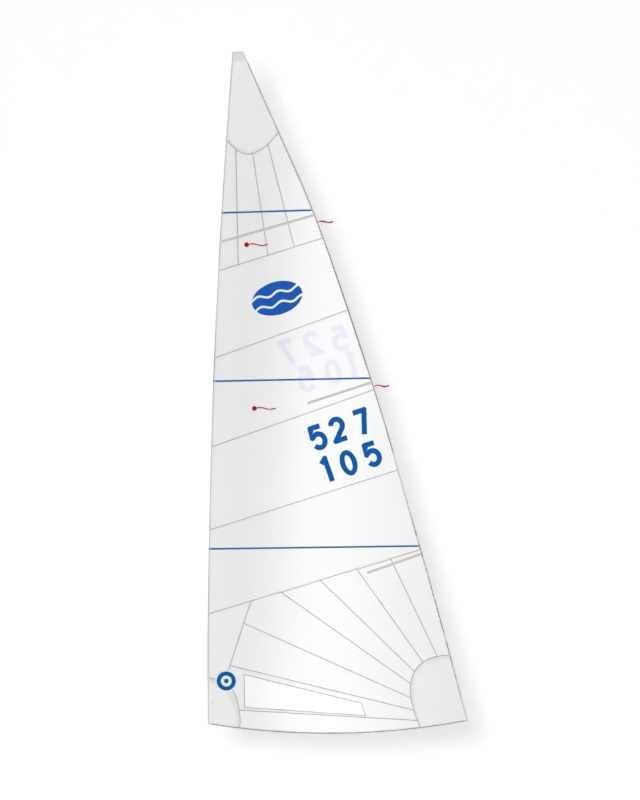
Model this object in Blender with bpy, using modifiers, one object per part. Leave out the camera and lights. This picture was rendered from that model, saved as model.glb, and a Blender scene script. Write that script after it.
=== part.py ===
# Mainsail of a small keelboat: paper-thin cloth panels, lapped and sewn, set on a curved surface.
#
# Every cloth piece is first laid out on a flat floor, X aft, Y up the sail and Z towards port. It is then
# set: the floor is bent to the flying shape. That shape is a cylinder, so it is straight along lines that
# are parallel to the luff, and a facet between two such lines is flat.
import math

import bmesh
import bpy
from mathutils import Matrix, Vector

# The sail plan, from port: the tack is the origin, X runs aft, heights run up from the tack
LUFF_HEIGHT = 7.637
LUFF_RAKE = 0.281
LUFF_ROUND = 0.080
HEAD_WIDTH = 0.125
CLEW_AFT = 2.958
CLEW_HEIGHT = 0.036
FOOT_ROUND = 0.128
# Share of the way from the head to the clew, and how far the leech stands aft of the straight line there
ROACH = (
    (0.0, 0.0), (0.087, 0.069), (0.222, 0.181), (0.356, 0.212),
    (0.536, 0.198), (0.670, 0.150), (0.850, 0.077), (1.0, 0.0),
)

# The flying shape: the angle at which the cloth leaves the mast, and the radii before and aft of the join
ENTRY_ANGLE = math.radians(18.5)
FRONT_RADIUS = 3.6
AFT_RADIUS = 8.0
RADIUS_JOIN = 1.05
FOLD_SPACING = 0.10

# Cloth. Layers lie on levels, counted from starboard to port, a thickness and a gap apart
CLOTH = 0.0003
GAP = 0.0003
LAP = 0.015
LUFF_POINTS = 14
LEECH_POINTS = 20
FOOT_POINTS = 12

# Cross seams from the top: height on the luff, height on the leech
CROSS_SEAMS = ((5.140, 5.519), (4.160, 4.711), (3.140, 3.795), (2.207, 2.893), (1.254, 1.988))
CROSS_LEVELS = (0, 1, 0, 1)
# Head gore seams: distance aft of the luff at the head patch, and at the first cross seam
HEAD_SEAMS = ((0.127, 0.234), (0.306, 0.562), (0.514, 0.871))
HEAD_SEAM_DROP = 1.137
HEAD_GORE_LEVELS = (2, 1, 2, 1)
# The tack panel's after seam: aft of the luff on the last cross seam, then a point lower down, then the
# angle at which it meets the tack patch
TACK_SEAM_AFT = 0.499
TACK_SEAM_LOW = (0.244, 0.620)
TACK_SEAM_ANGLE = 66.0
TACK_PANEL_LEVEL = 3
# Clew gore seams: the far end, and the angle at which it meets the clew patch
CLEW_SEAMS = (
    ((2.078, 1.870), 64.2), ((1.703, 1.757), 52.9), ((1.280, 1.627), 42.3), ((0.845, 1.495), 33.4),
    ((0.426, 1.133), 21.5), ((0.261, 0.667), 11.7), ((0.362, 0.154), 0.0),
)
CLEW_GORE_LEVELS = (2, 0, 2, 0, 2, 0, 2, 0)
# Counted from the leech, from 0: the gores that end on the last cross seam, at the tack panel and at the
# tack patch, and the angle at which the last two part there
SEAM_GORES = (0, 1, 2, 3, 4)
TACK_PANEL_GORES = (4, 5, 6)
WINDOW_GORE = 6
FOOT_GORE = 7
FOOT_GORE_ANGLE = 23.0

# Corner patches: reach from the corner at each angle. The head's angles run aft from straight down, the
# clew's up from straight forward and the tack's up from straight aft
HEAD_PATCH = ((-12.0, 0.955), (-7.7, 1.009), (-0.9, 1.121), (6.5, 1.176), (18.2, 1.111), (28.0, 1.010))
CLEW_PATCH = (
    (-12.0, 0.540), (0.0, 0.580), (11.7, 0.633), (21.5, 0.700), (33.4, 0.783), (48.0, 0.848),
    (64.2, 0.814), (80.0, 0.762),
)
TACK_PATCH = ((-12.0, 0.368), (23.0, 0.393), (52.4, 0.481), (75.0, 0.521), (92.0, 0.532))
PATCH_CHORDS = 7
PATCH_LAP = 0.040
HEAD_PATCH_LEVEL = 3
CLEW_PATCH_LEVEL = 3
TACK_PATCH_LEVEL = 4

# Window, anticlockwise from its upper fore corner
WINDOW = ((0.420, 0.558), (0.426, 0.192), (1.785, 0.100), (1.748, 0.232))
WINDOW_LAP = 0.012

# Edges
TAPE = 0.0003
LUFF_TAPE_WIDTH = 0.018
EDGE_TAPE_WIDTH = 0.015
BOLT_ROPE = 0.008
ROPE_ROOM = 0.0004
ROPE_SIDES = 8
SLEEVE_SIDES = 12
LEECH_LINE = 0.0018
LINE_SIDES = 6

# Battens from the top: height on the leech, rise for each metre aft, pocket length (None: from the luff)
BATTENS = (
    ("top", 5.784, 0.2872, None),
    ("middle", 3.883, 0.3247, 0.755),
    ("lower", 1.936, 0.3515, 0.645),
)
BATTEN_WIDTH = 0.018
BATTEN_THICKNESS = 0.0018
BATTEN_LIFT = 0.0034
BATTEN_STEP = 0.055
POCKET_WIDTH = 0.028
POCKET_WALL = 0.0015
POCKET_COVER = 0.0006
POCKET_ROOM = 0.0031
POCKET_END = 0.003
POCKET_SETBACK = 0.003

# Head, tack and clew fittings
HEADBOARD_HEIGHT = 0.110
HEADBOARD_THICKNESS = 0.002
HEADBOARD_CORNER = 0.010
HEADBOARD_CLEARANCE = 0.0012
HALYARD_BORE = 0.008
HALYARD_HOLE_DROP = 0.036
BUSH_FLANGE = 0.004
RIVET_BORE = 0.0012
RIVET_FLANGE = 0.0015
RIVET_INSET = 0.012
EYE_BORE = 0.009
EYE_WALL = 0.0015
EYE_FLANGE = 0.008
EYE_FLANGE_THICKNESS = 0.0012
TACK_EYE_INSET = 0.052
CUNNINGHAM_HEIGHT = 0.240
CLEW_EYE_FORWARD = 0.073
CLEW_EYE_UP = 0.042
TURN_STEPS = 20
RIVET_STEPS = 12
CORNER_STEPS = 4

# Draft stripes: height on the luff, height on the leech, level to port
STRIPES = (("top", 5.807, 5.837, 4), ("middle", 3.894, 3.929, 3), ("lower", 1.989, 2.022, 3))
STRIPE_WIDTH = 0.020
STARBOARD_TRIM_LEVEL = 0

# Telltales: height, and distance aft of the luff
LUFF_TELLTALES = (("upper", 5.445, 0.308), ("lower", 3.585, 0.479))
LEECH_TELLTALES = (("upper", 5.703), ("lower", 3.839))
DOT_RADIUS = 0.0275
RIBBON_WIDTH = 0.009
RIBBON_LIFT = 0.00055
LEECH_RIBBON_GAP = 0.0006
# How the ribbons stream: distance aft of the hinge, and how high
PORT_RIBBON_ROUTE = (
    (0.0, 0.0), (0.035, 0.006), (0.075, 0.011), (0.125, 0.0), (0.170, -0.010), (0.210, -0.004),
    (0.244, 0.002),
)
STARBOARD_RIBBON_ROUTE = (
    (0.0, 0.0), (0.035, -0.006), (0.075, -0.003), (0.125, -0.008), (0.170, -0.016), (0.210, -0.017),
    (0.244, -0.010),
)
LEECH_RIBBON_ROUTE = (
    (0.0, 0.0), (0.040, 0.009), (0.080, 0.004), (0.115, -0.007), (0.145, -0.003), (0.176, 0.004),
)
RIBBON_STEPS = 14

LAYER = CLOTH + GAP
LUFF_LEAN = LUFF_RAKE / LUFF_HEIGHT
SLEEVE_BORE = BOLT_ROPE / 2 + ROPE_ROOM
ROPE_CENTRE = TAPE + SLEEVE_BORE
LUFF_INSET = ROPE_CENTRE + SLEEVE_BORE + GAP
LEECH_INSET = TAPE + GAP + LEECH_LINE + GAP
FOOT_INSET = TAPE + 2 * GAP

PARTS = bpy.data.collections.new("mainsail")
MATERIALS = {}


def through(points, at):
    # Smooth curve through (place, value) points, level past its ends
    if at <= points[0][0]:
        return points[0][1]
    if at >= points[-1][0]:
        return points[-1][1]
    last = len(points) - 1
    k = max(i for i in range(last) if points[i][0] <= at)

    def slope(i):
        low = points[max(i - 1, 0)]
        high = points[min(i + 1, last)]
        return (high[1] - low[1]) / (high[0] - low[0])

    span = points[k + 1][0] - points[k][0]
    t = (at - points[k][0]) / span
    return (
        points[k][1] * (2 * t**3 - 3 * t**2 + 1)
        + slope(k) * span * (t**3 - 2 * t**2 + t)
        + points[k + 1][1] * (3 * t**2 - 2 * t**3)
        + slope(k + 1) * span * (t**3 - t**2)
    )


# The three edges as curves, and as the straight runs between stations that every piece shares

def luff_curve(height):
    share = height / LUFF_HEIGHT
    return LUFF_RAKE * share - 4 * LUFF_ROUND * share * (1 - share)


def leech_curve(height):
    share = (LUFF_HEIGHT - height) / (LUFF_HEIGHT - CLEW_HEIGHT)
    head_x = LUFF_RAKE + HEAD_WIDTH
    return head_x + share * (CLEW_AFT - head_x) + through(ROACH, share)


def foot_curve(x):
    share = x / CLEW_AFT
    return CLEW_HEIGHT * share - 4 * FOOT_ROUND * share * (1 - share)


def between_stations(curve, low, high, count, at):
    step = (high - low) / count
    station = min(max(math.floor((at - low) / step), 0), count - 1)
    start = low + station * step
    return curve(start) + (curve(start + step) - curve(start)) * (at - start) / step


def stations(low, high, count, start, end):
    # From start to end, by way of the stations between them
    inner = [low + (high - low) * i / count for i in range(count + 1)]
    inner = [place for place in inner if min(start, end) + GAP < place < max(start, end) - GAP]
    return [start, *(inner if start < end else reversed(inner)), end]


def luff_x(height):
    return between_stations(luff_curve, 0.0, LUFF_HEIGHT, LUFF_POINTS, height)


def leech_x(height):
    return between_stations(leech_curve, CLEW_HEIGHT, LUFF_HEIGHT, LEECH_POINTS, height)


def foot_height(x):
    return between_stations(foot_curve, 0.0, CLEW_AFT, FOOT_POINTS, x)


def slant(curve, at):
    # A width square to an edge, measured along an axis, is longer by this
    return math.hypot(1, (curve(at + LAP) - curve(at - LAP)) / (2 * LAP))


def arc_y(aft):
    # How far the cloth stands to starboard, at a distance aft of the straight luff
    front_x = FRONT_RADIUS * math.sin(ENTRY_ANGLE)
    front_y = -FRONT_RADIUS * math.cos(ENTRY_ANGLE)
    if aft <= RADIUS_JOIN:
        return front_y + math.sqrt(FRONT_RADIUS**2 - (aft - front_x) ** 2)
    join_sine = (front_x - RADIUS_JOIN) / FRONT_RADIUS
    join_cosine = math.sqrt(1 - join_sine**2)
    aft_x = RADIUS_JOIN + AFT_RADIUS * join_sine
    aft_y = front_y + (FRONT_RADIUS - AFT_RADIUS) * join_cosine
    return aft_y + math.sqrt(AFT_RADIUS**2 - (aft - aft_x) ** 2)


def smooth_y(x, height):
    return arc_y(x - LUFF_LEAN * height)


def sail_y(x, height):
    # The same shape, flat between two folds
    place = (x - LUFF_LEAN * height) / FOLD_SPACING
    fold = math.floor(place)
    low = arc_y(fold * FOLD_SPACING)
    high = arc_y((fold + 1) * FOLD_SPACING)
    return low + (high - low) * (place - fold)


def port_normal(x, height):
    # Unit normal towards port, and the slope of the shape there
    step = 0.001
    slope = (smooth_y(x + step, height) - smooth_y(x - step, height)) / (2 * step)
    return Vector((slope, -1, -slope * LUFF_LEAN)).normalized(), slope


def material(name, color, roughness=0.7, metallic=0.0):
    if name not in MATERIALS:
        made = bpy.data.materials.new(name)
        made.use_nodes = True
        shader = made.node_tree.nodes["Principled BSDF"]
        shader.inputs["Base Color"].default_value = (*color, 1)
        shader.inputs["Roughness"].default_value = roughness
        shader.inputs["Metallic"].default_value = metallic
        MATERIALS[name] = made
    return MATERIALS[name]


def cloth_white():
    return material("sailcloth", (0.83, 0.84, 0.85), 0.6)


def edge_grey():
    return material("edge_tape", (0.42, 0.43, 0.44), 0.7)


def pocket_grey():
    return material("pocket_cloth", (0.56, 0.57, 0.58), 0.7)


def stripe_blue():
    return material("draft_blue", (0.01, 0.11, 0.45), 0.5)


def telltale_red():
    return material("telltale_red", (0.55, 0.04, 0.02), 0.6)


def fitting_metal():
    return material("stainless", (0.72, 0.73, 0.74), 0.3, 1.0)


# Floor tools: shapes laid flat, held as bmesh until they are set

def floor_mesh(thing):
    # The evaluated mesh of an object, welded, in place of the object
    bpy.context.scene.collection.objects.link(thing)
    graph = bpy.context.evaluated_depsgraph_get()
    bm = bmesh.new()
    mesh = bpy.data.meshes.new_from_object(thing.evaluated_get(graph))
    bm.from_mesh(mesh)
    bm.transform(thing.matrix_world)
    bmesh.ops.remove_doubles(bm, verts=bm.verts, dist=1e-6)
    bmesh.ops.recalc_face_normals(bm, faces=bm.faces)
    bpy.data.meshes.remove(mesh)
    bpy.data.objects.remove(thing)
    return bm


def add_spline(curve, points, closed):
    spline = curve.splines.new("POLY")
    spline.points.add(len(points) - 1)
    for point, (x, y) in zip(spline.points, points):
        point.co = (x, y, 0, 1)
    spline.use_cyclic_u = closed


def poly_curve(name, points, closed):
    curve = bpy.data.curves.new(name, "CURVE")
    curve.dimensions = "2D"
    curve.resolution_u = 1
    add_spline(curve, points, closed)
    return curve


def circle(x, y, radius, steps):
    angles = [2 * math.pi * i / steps for i in range(steps)]
    return [(x + radius * math.cos(a), y + radius * math.sin(a)) for a in angles]


def flat_sheet(points, holes=()):
    # A filled outline, with round holes (x, y, radius, steps)
    curve = poly_curve("outline", points, closed=True)
    for hole in holes:
        add_spline(curve, circle(*hole), closed=True)
    curve.fill_mode = "BOTH"
    bm = floor_mesh(bpy.data.objects.new("outline", curve))
    bmesh.ops.dissolve_limit(bm, angle_limit=0.01, verts=[], edges=bm.edges)
    return bm


def keep_left(bm, start, end, extra=0.0):
    # Cuts along the line from start to end, moved out by extra, and keeps what is on its left
    start = Vector((*start, 0))
    end = Vector((*end, 0))
    along = (end - start).normalized()
    outward = Vector((along.y, -along.x, 0))
    bmesh.ops.bisect_plane(
        bm, geom=bm.verts[:] + bm.edges[:] + bm.faces[:], dist=1e-7,
        plane_co=start + outward * extra, plane_no=outward, clear_outer=True,
    )


def thicken(bm, low, high):
    bmesh.ops.translate(bm, verts=bm.verts, vec=(0, 0, low))
    grown = bmesh.ops.extrude_face_region(bm, geom=bm.faces[:], use_keep_orig=True)["geom"]
    new_verts = [item for item in grown if isinstance(item, bmesh.types.BMVert)]
    bmesh.ops.translate(bm, verts=new_verts, vec=(0, 0, high - low))
    bmesh.ops.recalc_face_normals(bm, faces=bm.faces)


def on_level(bm, level):
    thicken(bm, level * LAYER - CLOTH / 2, level * LAYER + CLOTH / 2)


def turned(profile, x, y, steps):
    # A closed profile of (radius, height) points turned about an upright axis at x, y
    mesh = bpy.data.meshes.new("turned")
    count = len(profile)
    mesh.from_pydata(
        [(radius, 0, height) for radius, height in profile],
        [(i, (i + 1) % count) for i in range(count)], [],
    )
    piece = bpy.data.objects.new("turned", mesh)
    piece.location = (x, y, 0)
    screw = piece.modifiers.new("turn", "SCREW")
    screw.steps = steps
    screw.render_steps = steps
    screw.use_merge_vertices = True
    screw.merge_threshold = 1e-5
    return floor_mesh(piece)


def swept(path, profile):
    # A closed profile swept along a path: its first number runs to the path's right, its second to port
    section = bpy.data.objects.new("section", poly_curve("section", profile, closed=True))
    curve = poly_curve("path", path, closed=False)
    curve.bevel_mode = "OBJECT"
    curve.bevel_object = section
    curve.use_fill_caps = True
    bm = floor_mesh(bpy.data.objects.new("path", curve))
    bpy.data.objects.remove(section)
    return bm


def finish(name, bm, skin, pivot=None):
    mesh = bpy.data.meshes.new(name)
    if pivot is not None:
        bm.transform(Matrix.Translation(-Vector(pivot)))
    bm.to_mesh(mesh)
    bm.free()
    mesh.materials.append(skin)
    piece = bpy.data.objects.new(name, mesh)
    if pivot is not None:
        piece.location = pivot
    PARTS.objects.link(piece)
    return piece


def set_sail(name, bm, skin, pivot=None):
    # Bends a floor piece to the flying shape: folds it along the shape's straight lines, then moves it
    reach = [v.co.x - LUFF_LEAN * v.co.y for v in bm.verts]
    first = math.floor(min(reach) / FOLD_SPACING)
    last = math.ceil(max(reach) / FOLD_SPACING)
    for fold in range(first, last + 1):
        bmesh.ops.bisect_plane(
            bm, geom=bm.verts[:] + bm.edges[:] + bm.faces[:], dist=1e-7,
            plane_co=(fold * FOLD_SPACING, 0, 0), plane_no=(1, -LUFF_LEAN, 0),
        )
    for vert in bm.verts:
        x, y, z = vert.co
        vert.co = (x, sail_y(x, y) - z, y)
    return finish(name, bm, skin, pivot)


def sail_point(x, height, port=0.0):
    return Vector((x, smooth_y(x, height) - port, height))


# The plan's edges, clockwise from the tack

def luff_edge(low, high, inset=0.0):
    heights = stations(0.0, LUFF_HEIGHT, LUFF_POINTS, low, high)
    return [(luff_x(height) + inset * slant(luff_curve, height), height) for height in heights]


def leech_edge(high, low, inset=0.0):
    heights = stations(CLEW_HEIGHT, LUFF_HEIGHT, LEECH_POINTS, high, low)
    return [(leech_x(height) - inset * slant(leech_curve, height), height) for height in heights]


def foot_edge(aft, forward, inset=0.0):
    places = stations(0.0, CLEW_AFT, FOOT_POINTS, aft, forward)
    return [(x, foot_height(x) + inset * slant(foot_curve, x)) for x in places]


def cloth_outline():
    tack_x = LUFF_INSET
    tack_height = foot_height(tack_x) + FOOT_INSET
    clew_height = CLEW_HEIGHT + FOOT_INSET
    luff = luff_edge(tack_height, LUFF_HEIGHT, LUFF_INSET)
    leech = leech_edge(LUFF_HEIGHT, clew_height, LEECH_INSET)
    foot = foot_edge(leech[-1][0], luff[0][0], FOOT_INSET)
    return luff + leech + foot[1:-1]


def seam_ends(luff_height, leech_height):
    return (luff_x(luff_height), luff_height), (leech_x(leech_height), leech_height)


def seam_rise(luff_height, leech_height):
    # The seam's luff end, and how much it rises for each metre aft
    luff_end, leech_end = seam_ends(luff_height, leech_height)
    return luff_end, (leech_end[1] - luff_end[1]) / (leech_end[0] - luff_end[0])


def lap_over(level, neighbour):
    # The layer beneath runs on past the seam
    return LAP if level < neighbour else 0.0


def panel(name, edges, level, holes=()):
    bm = flat_sheet(cloth_outline(), holes)
    for start, end, extra in edges:
        keep_left(bm, start, end, extra)
    on_level(bm, level)
    return set_sail(name, bm, cloth_white())


# Corner patches

def head_place(angle, short=0.0):
    reach = through(HEAD_PATCH, angle) - short
    turn = math.radians(angle)
    return LUFF_RAKE + HEAD_WIDTH / 2 + reach * math.sin(turn), LUFF_HEIGHT - reach * math.cos(turn)


def clew_place(angle, short=0.0):
    reach = through(CLEW_PATCH, angle) - short
    turn = math.radians(angle)
    return CLEW_AFT - reach * math.cos(turn), CLEW_HEIGHT + reach * math.sin(turn)


def tack_place(angle, short=0.0):
    reach = through(TACK_PATCH, angle) - short
    turn = math.radians(angle)
    return reach * math.cos(turn), reach * math.sin(turn)


def patch(name, place, points, clockwise, level, holes):
    first = points[0][0]
    last = points[-1][0]
    angles = [first + (last - first) * i / PATCH_CHORDS for i in range(PATCH_CHORDS + 1)]
    corners = [place(angle) for angle in angles]
    if clockwise:
        corners.reverse()
    return panel(name, [(a, b, 0.0) for a, b in zip(corners, corners[1:])], level, holes)


def eye_places():
    tack_x = LUFF_INSET + TACK_EYE_INSET
    tack = (tack_x, foot_height(tack_x) + TACK_EYE_INSET)
    cunningham = (luff_x(CUNNINGHAM_HEIGHT) + LUFF_INSET + TACK_EYE_INSET, CUNNINGHAM_HEIGHT)
    clew = (CLEW_AFT - CLEW_EYE_FORWARD, CLEW_HEIGHT + CLEW_EYE_UP)
    return {"tack_eye": tack, "cunningham_eye": cunningham, "clew_eye": clew}


def eye_hole(place):
    return (*place, EYE_BORE + EYE_WALL + GAP, TURN_STEPS)


def corner_patches():
    eyes = eye_places()
    patch("head_patch", head_place, HEAD_PATCH, False, HEAD_PATCH_LEVEL, headboard_holes())
    patch("clew_patch", clew_place, CLEW_PATCH, True, CLEW_PATCH_LEVEL, [eye_hole(eyes["clew_eye"])])
    tack_holes = [eye_hole(eyes["tack_eye"]), eye_hole(eyes["cunningham_eye"])]
    patch("tack_patch", tack_place, TACK_PATCH, False, TACK_PATCH_LEVEL, tack_holes)


# Panels

def head_gores():
    luff_end, leech_end = seam_ends(*CROSS_SEAMS[0])
    _, rise = seam_rise(*CROSS_SEAMS[0])
    top = LUFF_HEIGHT - HEAD_SEAM_DROP
    seams = []
    for at_patch, at_seam in HEAD_SEAMS:
        low = (luff_end[0] + at_seam, luff_end[1] + at_seam * rise)
        seams.append((low, (luff_x(top) + at_patch, top)))
    for i, level in enumerate(HEAD_GORE_LEVELS):
        edges = [(luff_end, leech_end, lap_over(level, CROSS_LEVELS[0]))]
        if i > 0:
            low, high = seams[i - 1]
            edges.append((high, low, lap_over(level, HEAD_GORE_LEVELS[i - 1])))
        if i < len(seams):
            low, high = seams[i]
            edges.append((low, high, lap_over(level, HEAD_GORE_LEVELS[i + 1])))
        span = (HEAD_PATCH[-2][0] - HEAD_PATCH[1][0]) / len(HEAD_GORE_LEVELS)
        start = HEAD_PATCH[1][0] + span * i
        edges.append((head_place(start + span, PATCH_LAP), head_place(start, PATCH_LAP), 0.0))
        panel(f"head_gore_{i + 1}", edges, level)


def cross_panels():
    levels = (HEAD_GORE_LEVELS[1], *CROSS_LEVELS, CLEW_GORE_LEVELS[0])
    for i, level in enumerate(CROSS_LEVELS):
        upper_luff, upper_leech = seam_ends(*CROSS_SEAMS[i])
        lower_luff, lower_leech = seam_ends(*CROSS_SEAMS[i + 1])
        edges = [
            (lower_luff, lower_leech, lap_over(level, levels[i + 2])),
            (upper_leech, upper_luff, lap_over(level, levels[i])),
        ]
        panel(f"cross_panel_{i + 1}", edges, level)


def tack_seam():
    luff_end, rise = seam_rise(*CROSS_SEAMS[-1])
    return TACK_SEAM_LOW, (luff_end[0] + TACK_SEAM_AFT, luff_end[1] + TACK_SEAM_AFT * rise)


def tack_panel():
    luff_end, leech_end = seam_ends(*CROSS_SEAMS[-1])
    low, high = tack_seam()
    edges = [
        (low, high, lap_over(TACK_PANEL_LEVEL, CLEW_GORE_LEVELS[4])),
        (leech_end, luff_end, lap_over(TACK_PANEL_LEVEL, CROSS_LEVELS[-1])),
        (tack_place(TACK_PATCH[-1][0], PATCH_LAP), tack_place(TACK_SEAM_ANGLE, PATCH_LAP), 0.0),
    ]
    panel("tack_panel", edges, TACK_PANEL_LEVEL)


def clew_gores():
    luff_end, leech_end = seam_ends(*CROSS_SEAMS[-1])
    seam_low, seam_high = tack_seam()
    angles = [CLEW_PATCH[-1][0], *(angle for _, angle in CLEW_SEAMS), CLEW_PATCH[0][0]]
    tack_angles = {
        WINDOW_GORE: (TACK_SEAM_ANGLE, FOOT_GORE_ANGLE), FOOT_GORE: (FOOT_GORE_ANGLE, TACK_PATCH[0][0])}
    for i, level in enumerate(CLEW_GORE_LEVELS):
        edges = [(clew_place(angles[i + 1], PATCH_LAP), clew_place(angles[i], PATCH_LAP), 0.0)]
        if i > 0:
            far, angle = CLEW_SEAMS[i - 1]
            edges.append((clew_place(angle), far, lap_over(level, CLEW_GORE_LEVELS[i - 1])))
        if i < len(CLEW_SEAMS):
            far, angle = CLEW_SEAMS[i]
            edges.append((far, clew_place(angle), lap_over(level, CLEW_GORE_LEVELS[i + 1])))
        if i in SEAM_GORES:
            edges.append((leech_end, luff_end, lap_over(level, CROSS_LEVELS[-1])))
        if i in TACK_PANEL_GORES:
            edges.append((seam_high, seam_low, lap_over(level, TACK_PANEL_LEVEL)))
        if i in tack_angles:
            high, low = tack_angles[i]
            edges.append((tack_place(high, PATCH_LAP), tack_place(low, PATCH_LAP), 0.0))
        if i == WINDOW_GORE:
            window_gore(f"clew_gore_{i + 1}", edges, level)
        else:
            panel(f"clew_gore_{i + 1}", edges, level)


def window_gore(name, edges, level):
    # The gore with the window's opening, and the clear film behind it
    bm = flat_sheet(cloth_outline())
    for start, end, extra in edges:
        keep_left(bm, start, end, extra)
    corners = [Vector((*point, 0)) for point in WINDOW]
    sides = list(zip(corners, corners[1:] + corners[:1]))
    for start, end in sides:
        along = (end - start).normalized()
        bmesh.ops.bisect_plane(
            bm, geom=bm.verts[:] + bm.edges[:] + bm.faces[:], dist=1e-7,
            plane_co=start, plane_no=(along.y, -along.x, 0),
        )
    inside = []
    for face in bm.faces:
        centre = face.calc_center_median()
        if all((end - start).cross(centre - start).z > 0 for start, end in sides):
            inside.append(face)
    bmesh.ops.delete(bm, geom=inside, context="FACES")
    on_level(bm, level)
    set_sail(name, bm, cloth_white())

    film = flat_sheet(cloth_outline())
    for start, end in sides:
        keep_left(film, start.xy, end.xy, WINDOW_LAP)
    on_level(film, level - 1)
    set_sail("window_film", film, material("window_film", (0.93, 0.95, 0.96), 0.1))


# Edges: tapes folded round the cloth, the bolt rope and the leech line

def fold_profile(width, top_level):
    low = -CLOTH / 2 - GAP - TAPE
    high = top_level * LAYER + CLOTH / 2 + GAP + TAPE
    return [
        (0, low), (width, low), (width, low + TAPE), (TAPE, low + TAPE),
        (TAPE, high - TAPE), (width, high - TAPE), (width, high), (0, high),
    ]


def sleeve_profile(width, top_level):
    # Round the rope, then along both faces of the cloth
    low = -CLOTH / 2 - GAP - TAPE
    high = top_level * LAYER + CLOTH / 2 + GAP + TAPE
    middle = (low + high) / 2

    def loop(radius, half):
        start = math.asin(half / radius)
        turn = 2 * math.pi - 2 * start
        angles = [start + turn * i / SLEEVE_SIDES for i in range(SLEEVE_SIDES + 1)]
        return [(ROPE_CENTRE + radius * math.cos(a), middle + radius * math.sin(a)) for a in angles]

    half = (high - low) / 2
    outer = loop(SLEEVE_BORE + TAPE, half)
    inner = loop(SLEEVE_BORE, half - TAPE)
    return [(width, high), *outer, (width, low), (width, low + TAPE), *reversed(inner), (width, high - TAPE)]


def round_profile(centre_in, centre_port, radius, sides):
    angles = [2 * math.pi * i / sides for i in range(sides)]
    return [(centre_in + radius * math.cos(a), centre_port + radius * math.sin(a)) for a in angles]


def edges_and_ropes():
    luff = luff_edge(0.0, LUFF_HEIGHT)
    rope_port = TACK_PATCH_LEVEL * LAYER / 2
    set_sail("luff_tape", swept(luff, sleeve_profile(LUFF_TAPE_WIDTH, TACK_PATCH_LEVEL)), edge_grey())
    rope = swept(luff, round_profile(ROPE_CENTRE, rope_port, BOLT_ROPE / 2, ROPE_SIDES))
    set_sail("bolt_rope", rope, material("rope_white", (0.75, 0.75, 0.72), 0.8))

    leech_top = LUFF_HEIGHT - HEADBOARD_HEIGHT - POCKET_SETBACK
    leech = leech_edge(leech_top, CLEW_HEIGHT)
    set_sail("leech_tape", swept(leech, fold_profile(EDGE_TAPE_WIDTH, CLEW_PATCH_LEVEL)), edge_grey())
    line_in = TAPE + GAP + LEECH_LINE / 2
    line = swept(leech, round_profile(line_in, CLEW_PATCH_LEVEL * LAYER / 2, LEECH_LINE / 2, LINE_SIDES))
    set_sail("leech_line", line, material("line_grey", (0.5, 0.5, 0.5), 0.8))

    foot = foot_edge(CLEW_AFT - 2 * EDGE_TAPE_WIDTH, LUFF_TAPE_WIDTH + POCKET_SETBACK)
    set_sail("foot_tape", swept(foot, fold_profile(EDGE_TAPE_WIDTH, TACK_PATCH_LEVEL)), edge_grey())


# Battens and their pockets

def floor_box(length, width, low, high, centre, angle):
    bpy.ops.mesh.primitive_cube_add(size=1)
    box = bpy.context.object
    box.scale = (length, width, high - low)
    box.location = (*centre, (low + high) / 2)
    box.rotation_euler = (0, 0, angle)
    return box


def batten_line(leech_height, rise, length):
    # Outer end, inner end and direction of the pocket, on the floor
    along = Vector((1, rise)).normalized()
    edge = Vector((leech_x(leech_height), leech_height))
    outer = edge - along * (EDGE_TAPE_WIDTH + POCKET_SETBACK)
    if length is None:
        inner = outer.copy()
        while inner.x - along.x * POCKET_SETBACK > luff_x(inner.y) + LUFF_TAPE_WIDTH + POCKET_WIDTH * rise:
            inner -= along * POCKET_SETBACK
        return inner, outer, along
    return outer - along * length, outer, along


def pocket_floor():
    return max(HEAD_GORE_LEVELS) * LAYER + CLOTH / 2 + GAP


def batten_pocket(name, inner, outer, along):
    length = (outer - inner).length
    angle = math.atan2(along.y, along.x)
    low = pocket_floor()
    roof = BATTEN_LIFT + POCKET_ROOM
    middle = (inner + outer) / 2
    box = floor_box(length, POCKET_WIDTH, low, roof + POCKET_COVER, middle, angle)
    hollow = floor_box(
        length, POCKET_WIDTH - 2 * POCKET_WALL, -low, roof, middle + along * POCKET_END, angle)
    hollow.hide_render = True
    hollow.display_type = "WIRE"
    cut = box.modifiers.new("hollow", "BOOLEAN")
    cut.operation = "DIFFERENCE"
    cut.object = hollow
    for collection in list(box.users_collection):
        collection.objects.unlink(box)
    bm = floor_mesh(box)
    bpy.data.objects.remove(hollow)
    set_sail(name, bm, pocket_grey())


def batten_circle(inner, outer):
    # The circle through the ends and the middle of a batten, in its own upright plane
    length = (outer - inner).length
    places = [inner, (inner + outer) / 2, outer]
    (ax, ay), (bx, by), (cx, cy) = [
        (length * i / 2, smooth_y(place.x, place.y)) for i, place in enumerate(places)
    ]
    twice = 2 * (ax * (by - cy) + bx * (cy - ay) + cx * (ay - by))
    a2, b2, c2 = ax**2 + ay**2, bx**2 + by**2, cx**2 + cy**2
    along = (a2 * (by - cy) + b2 * (cy - ay) + c2 * (ay - by)) / twice
    depth = (a2 * (cx - bx) + b2 * (ax - cx) + c2 * (bx - ax)) / twice
    return along, depth, math.hypot(along - ax, depth - ay)


def batten_axis(inner, outer, along):
    # A point on the slide's axis and its direction: a positive turn draws the batten out aft
    distance, depth, radius = batten_circle(inner, outer)
    foot = inner + along * distance
    return Vector((foot.x, depth, foot.y)), Vector((along.y, 0, -along.x)), radius


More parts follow.
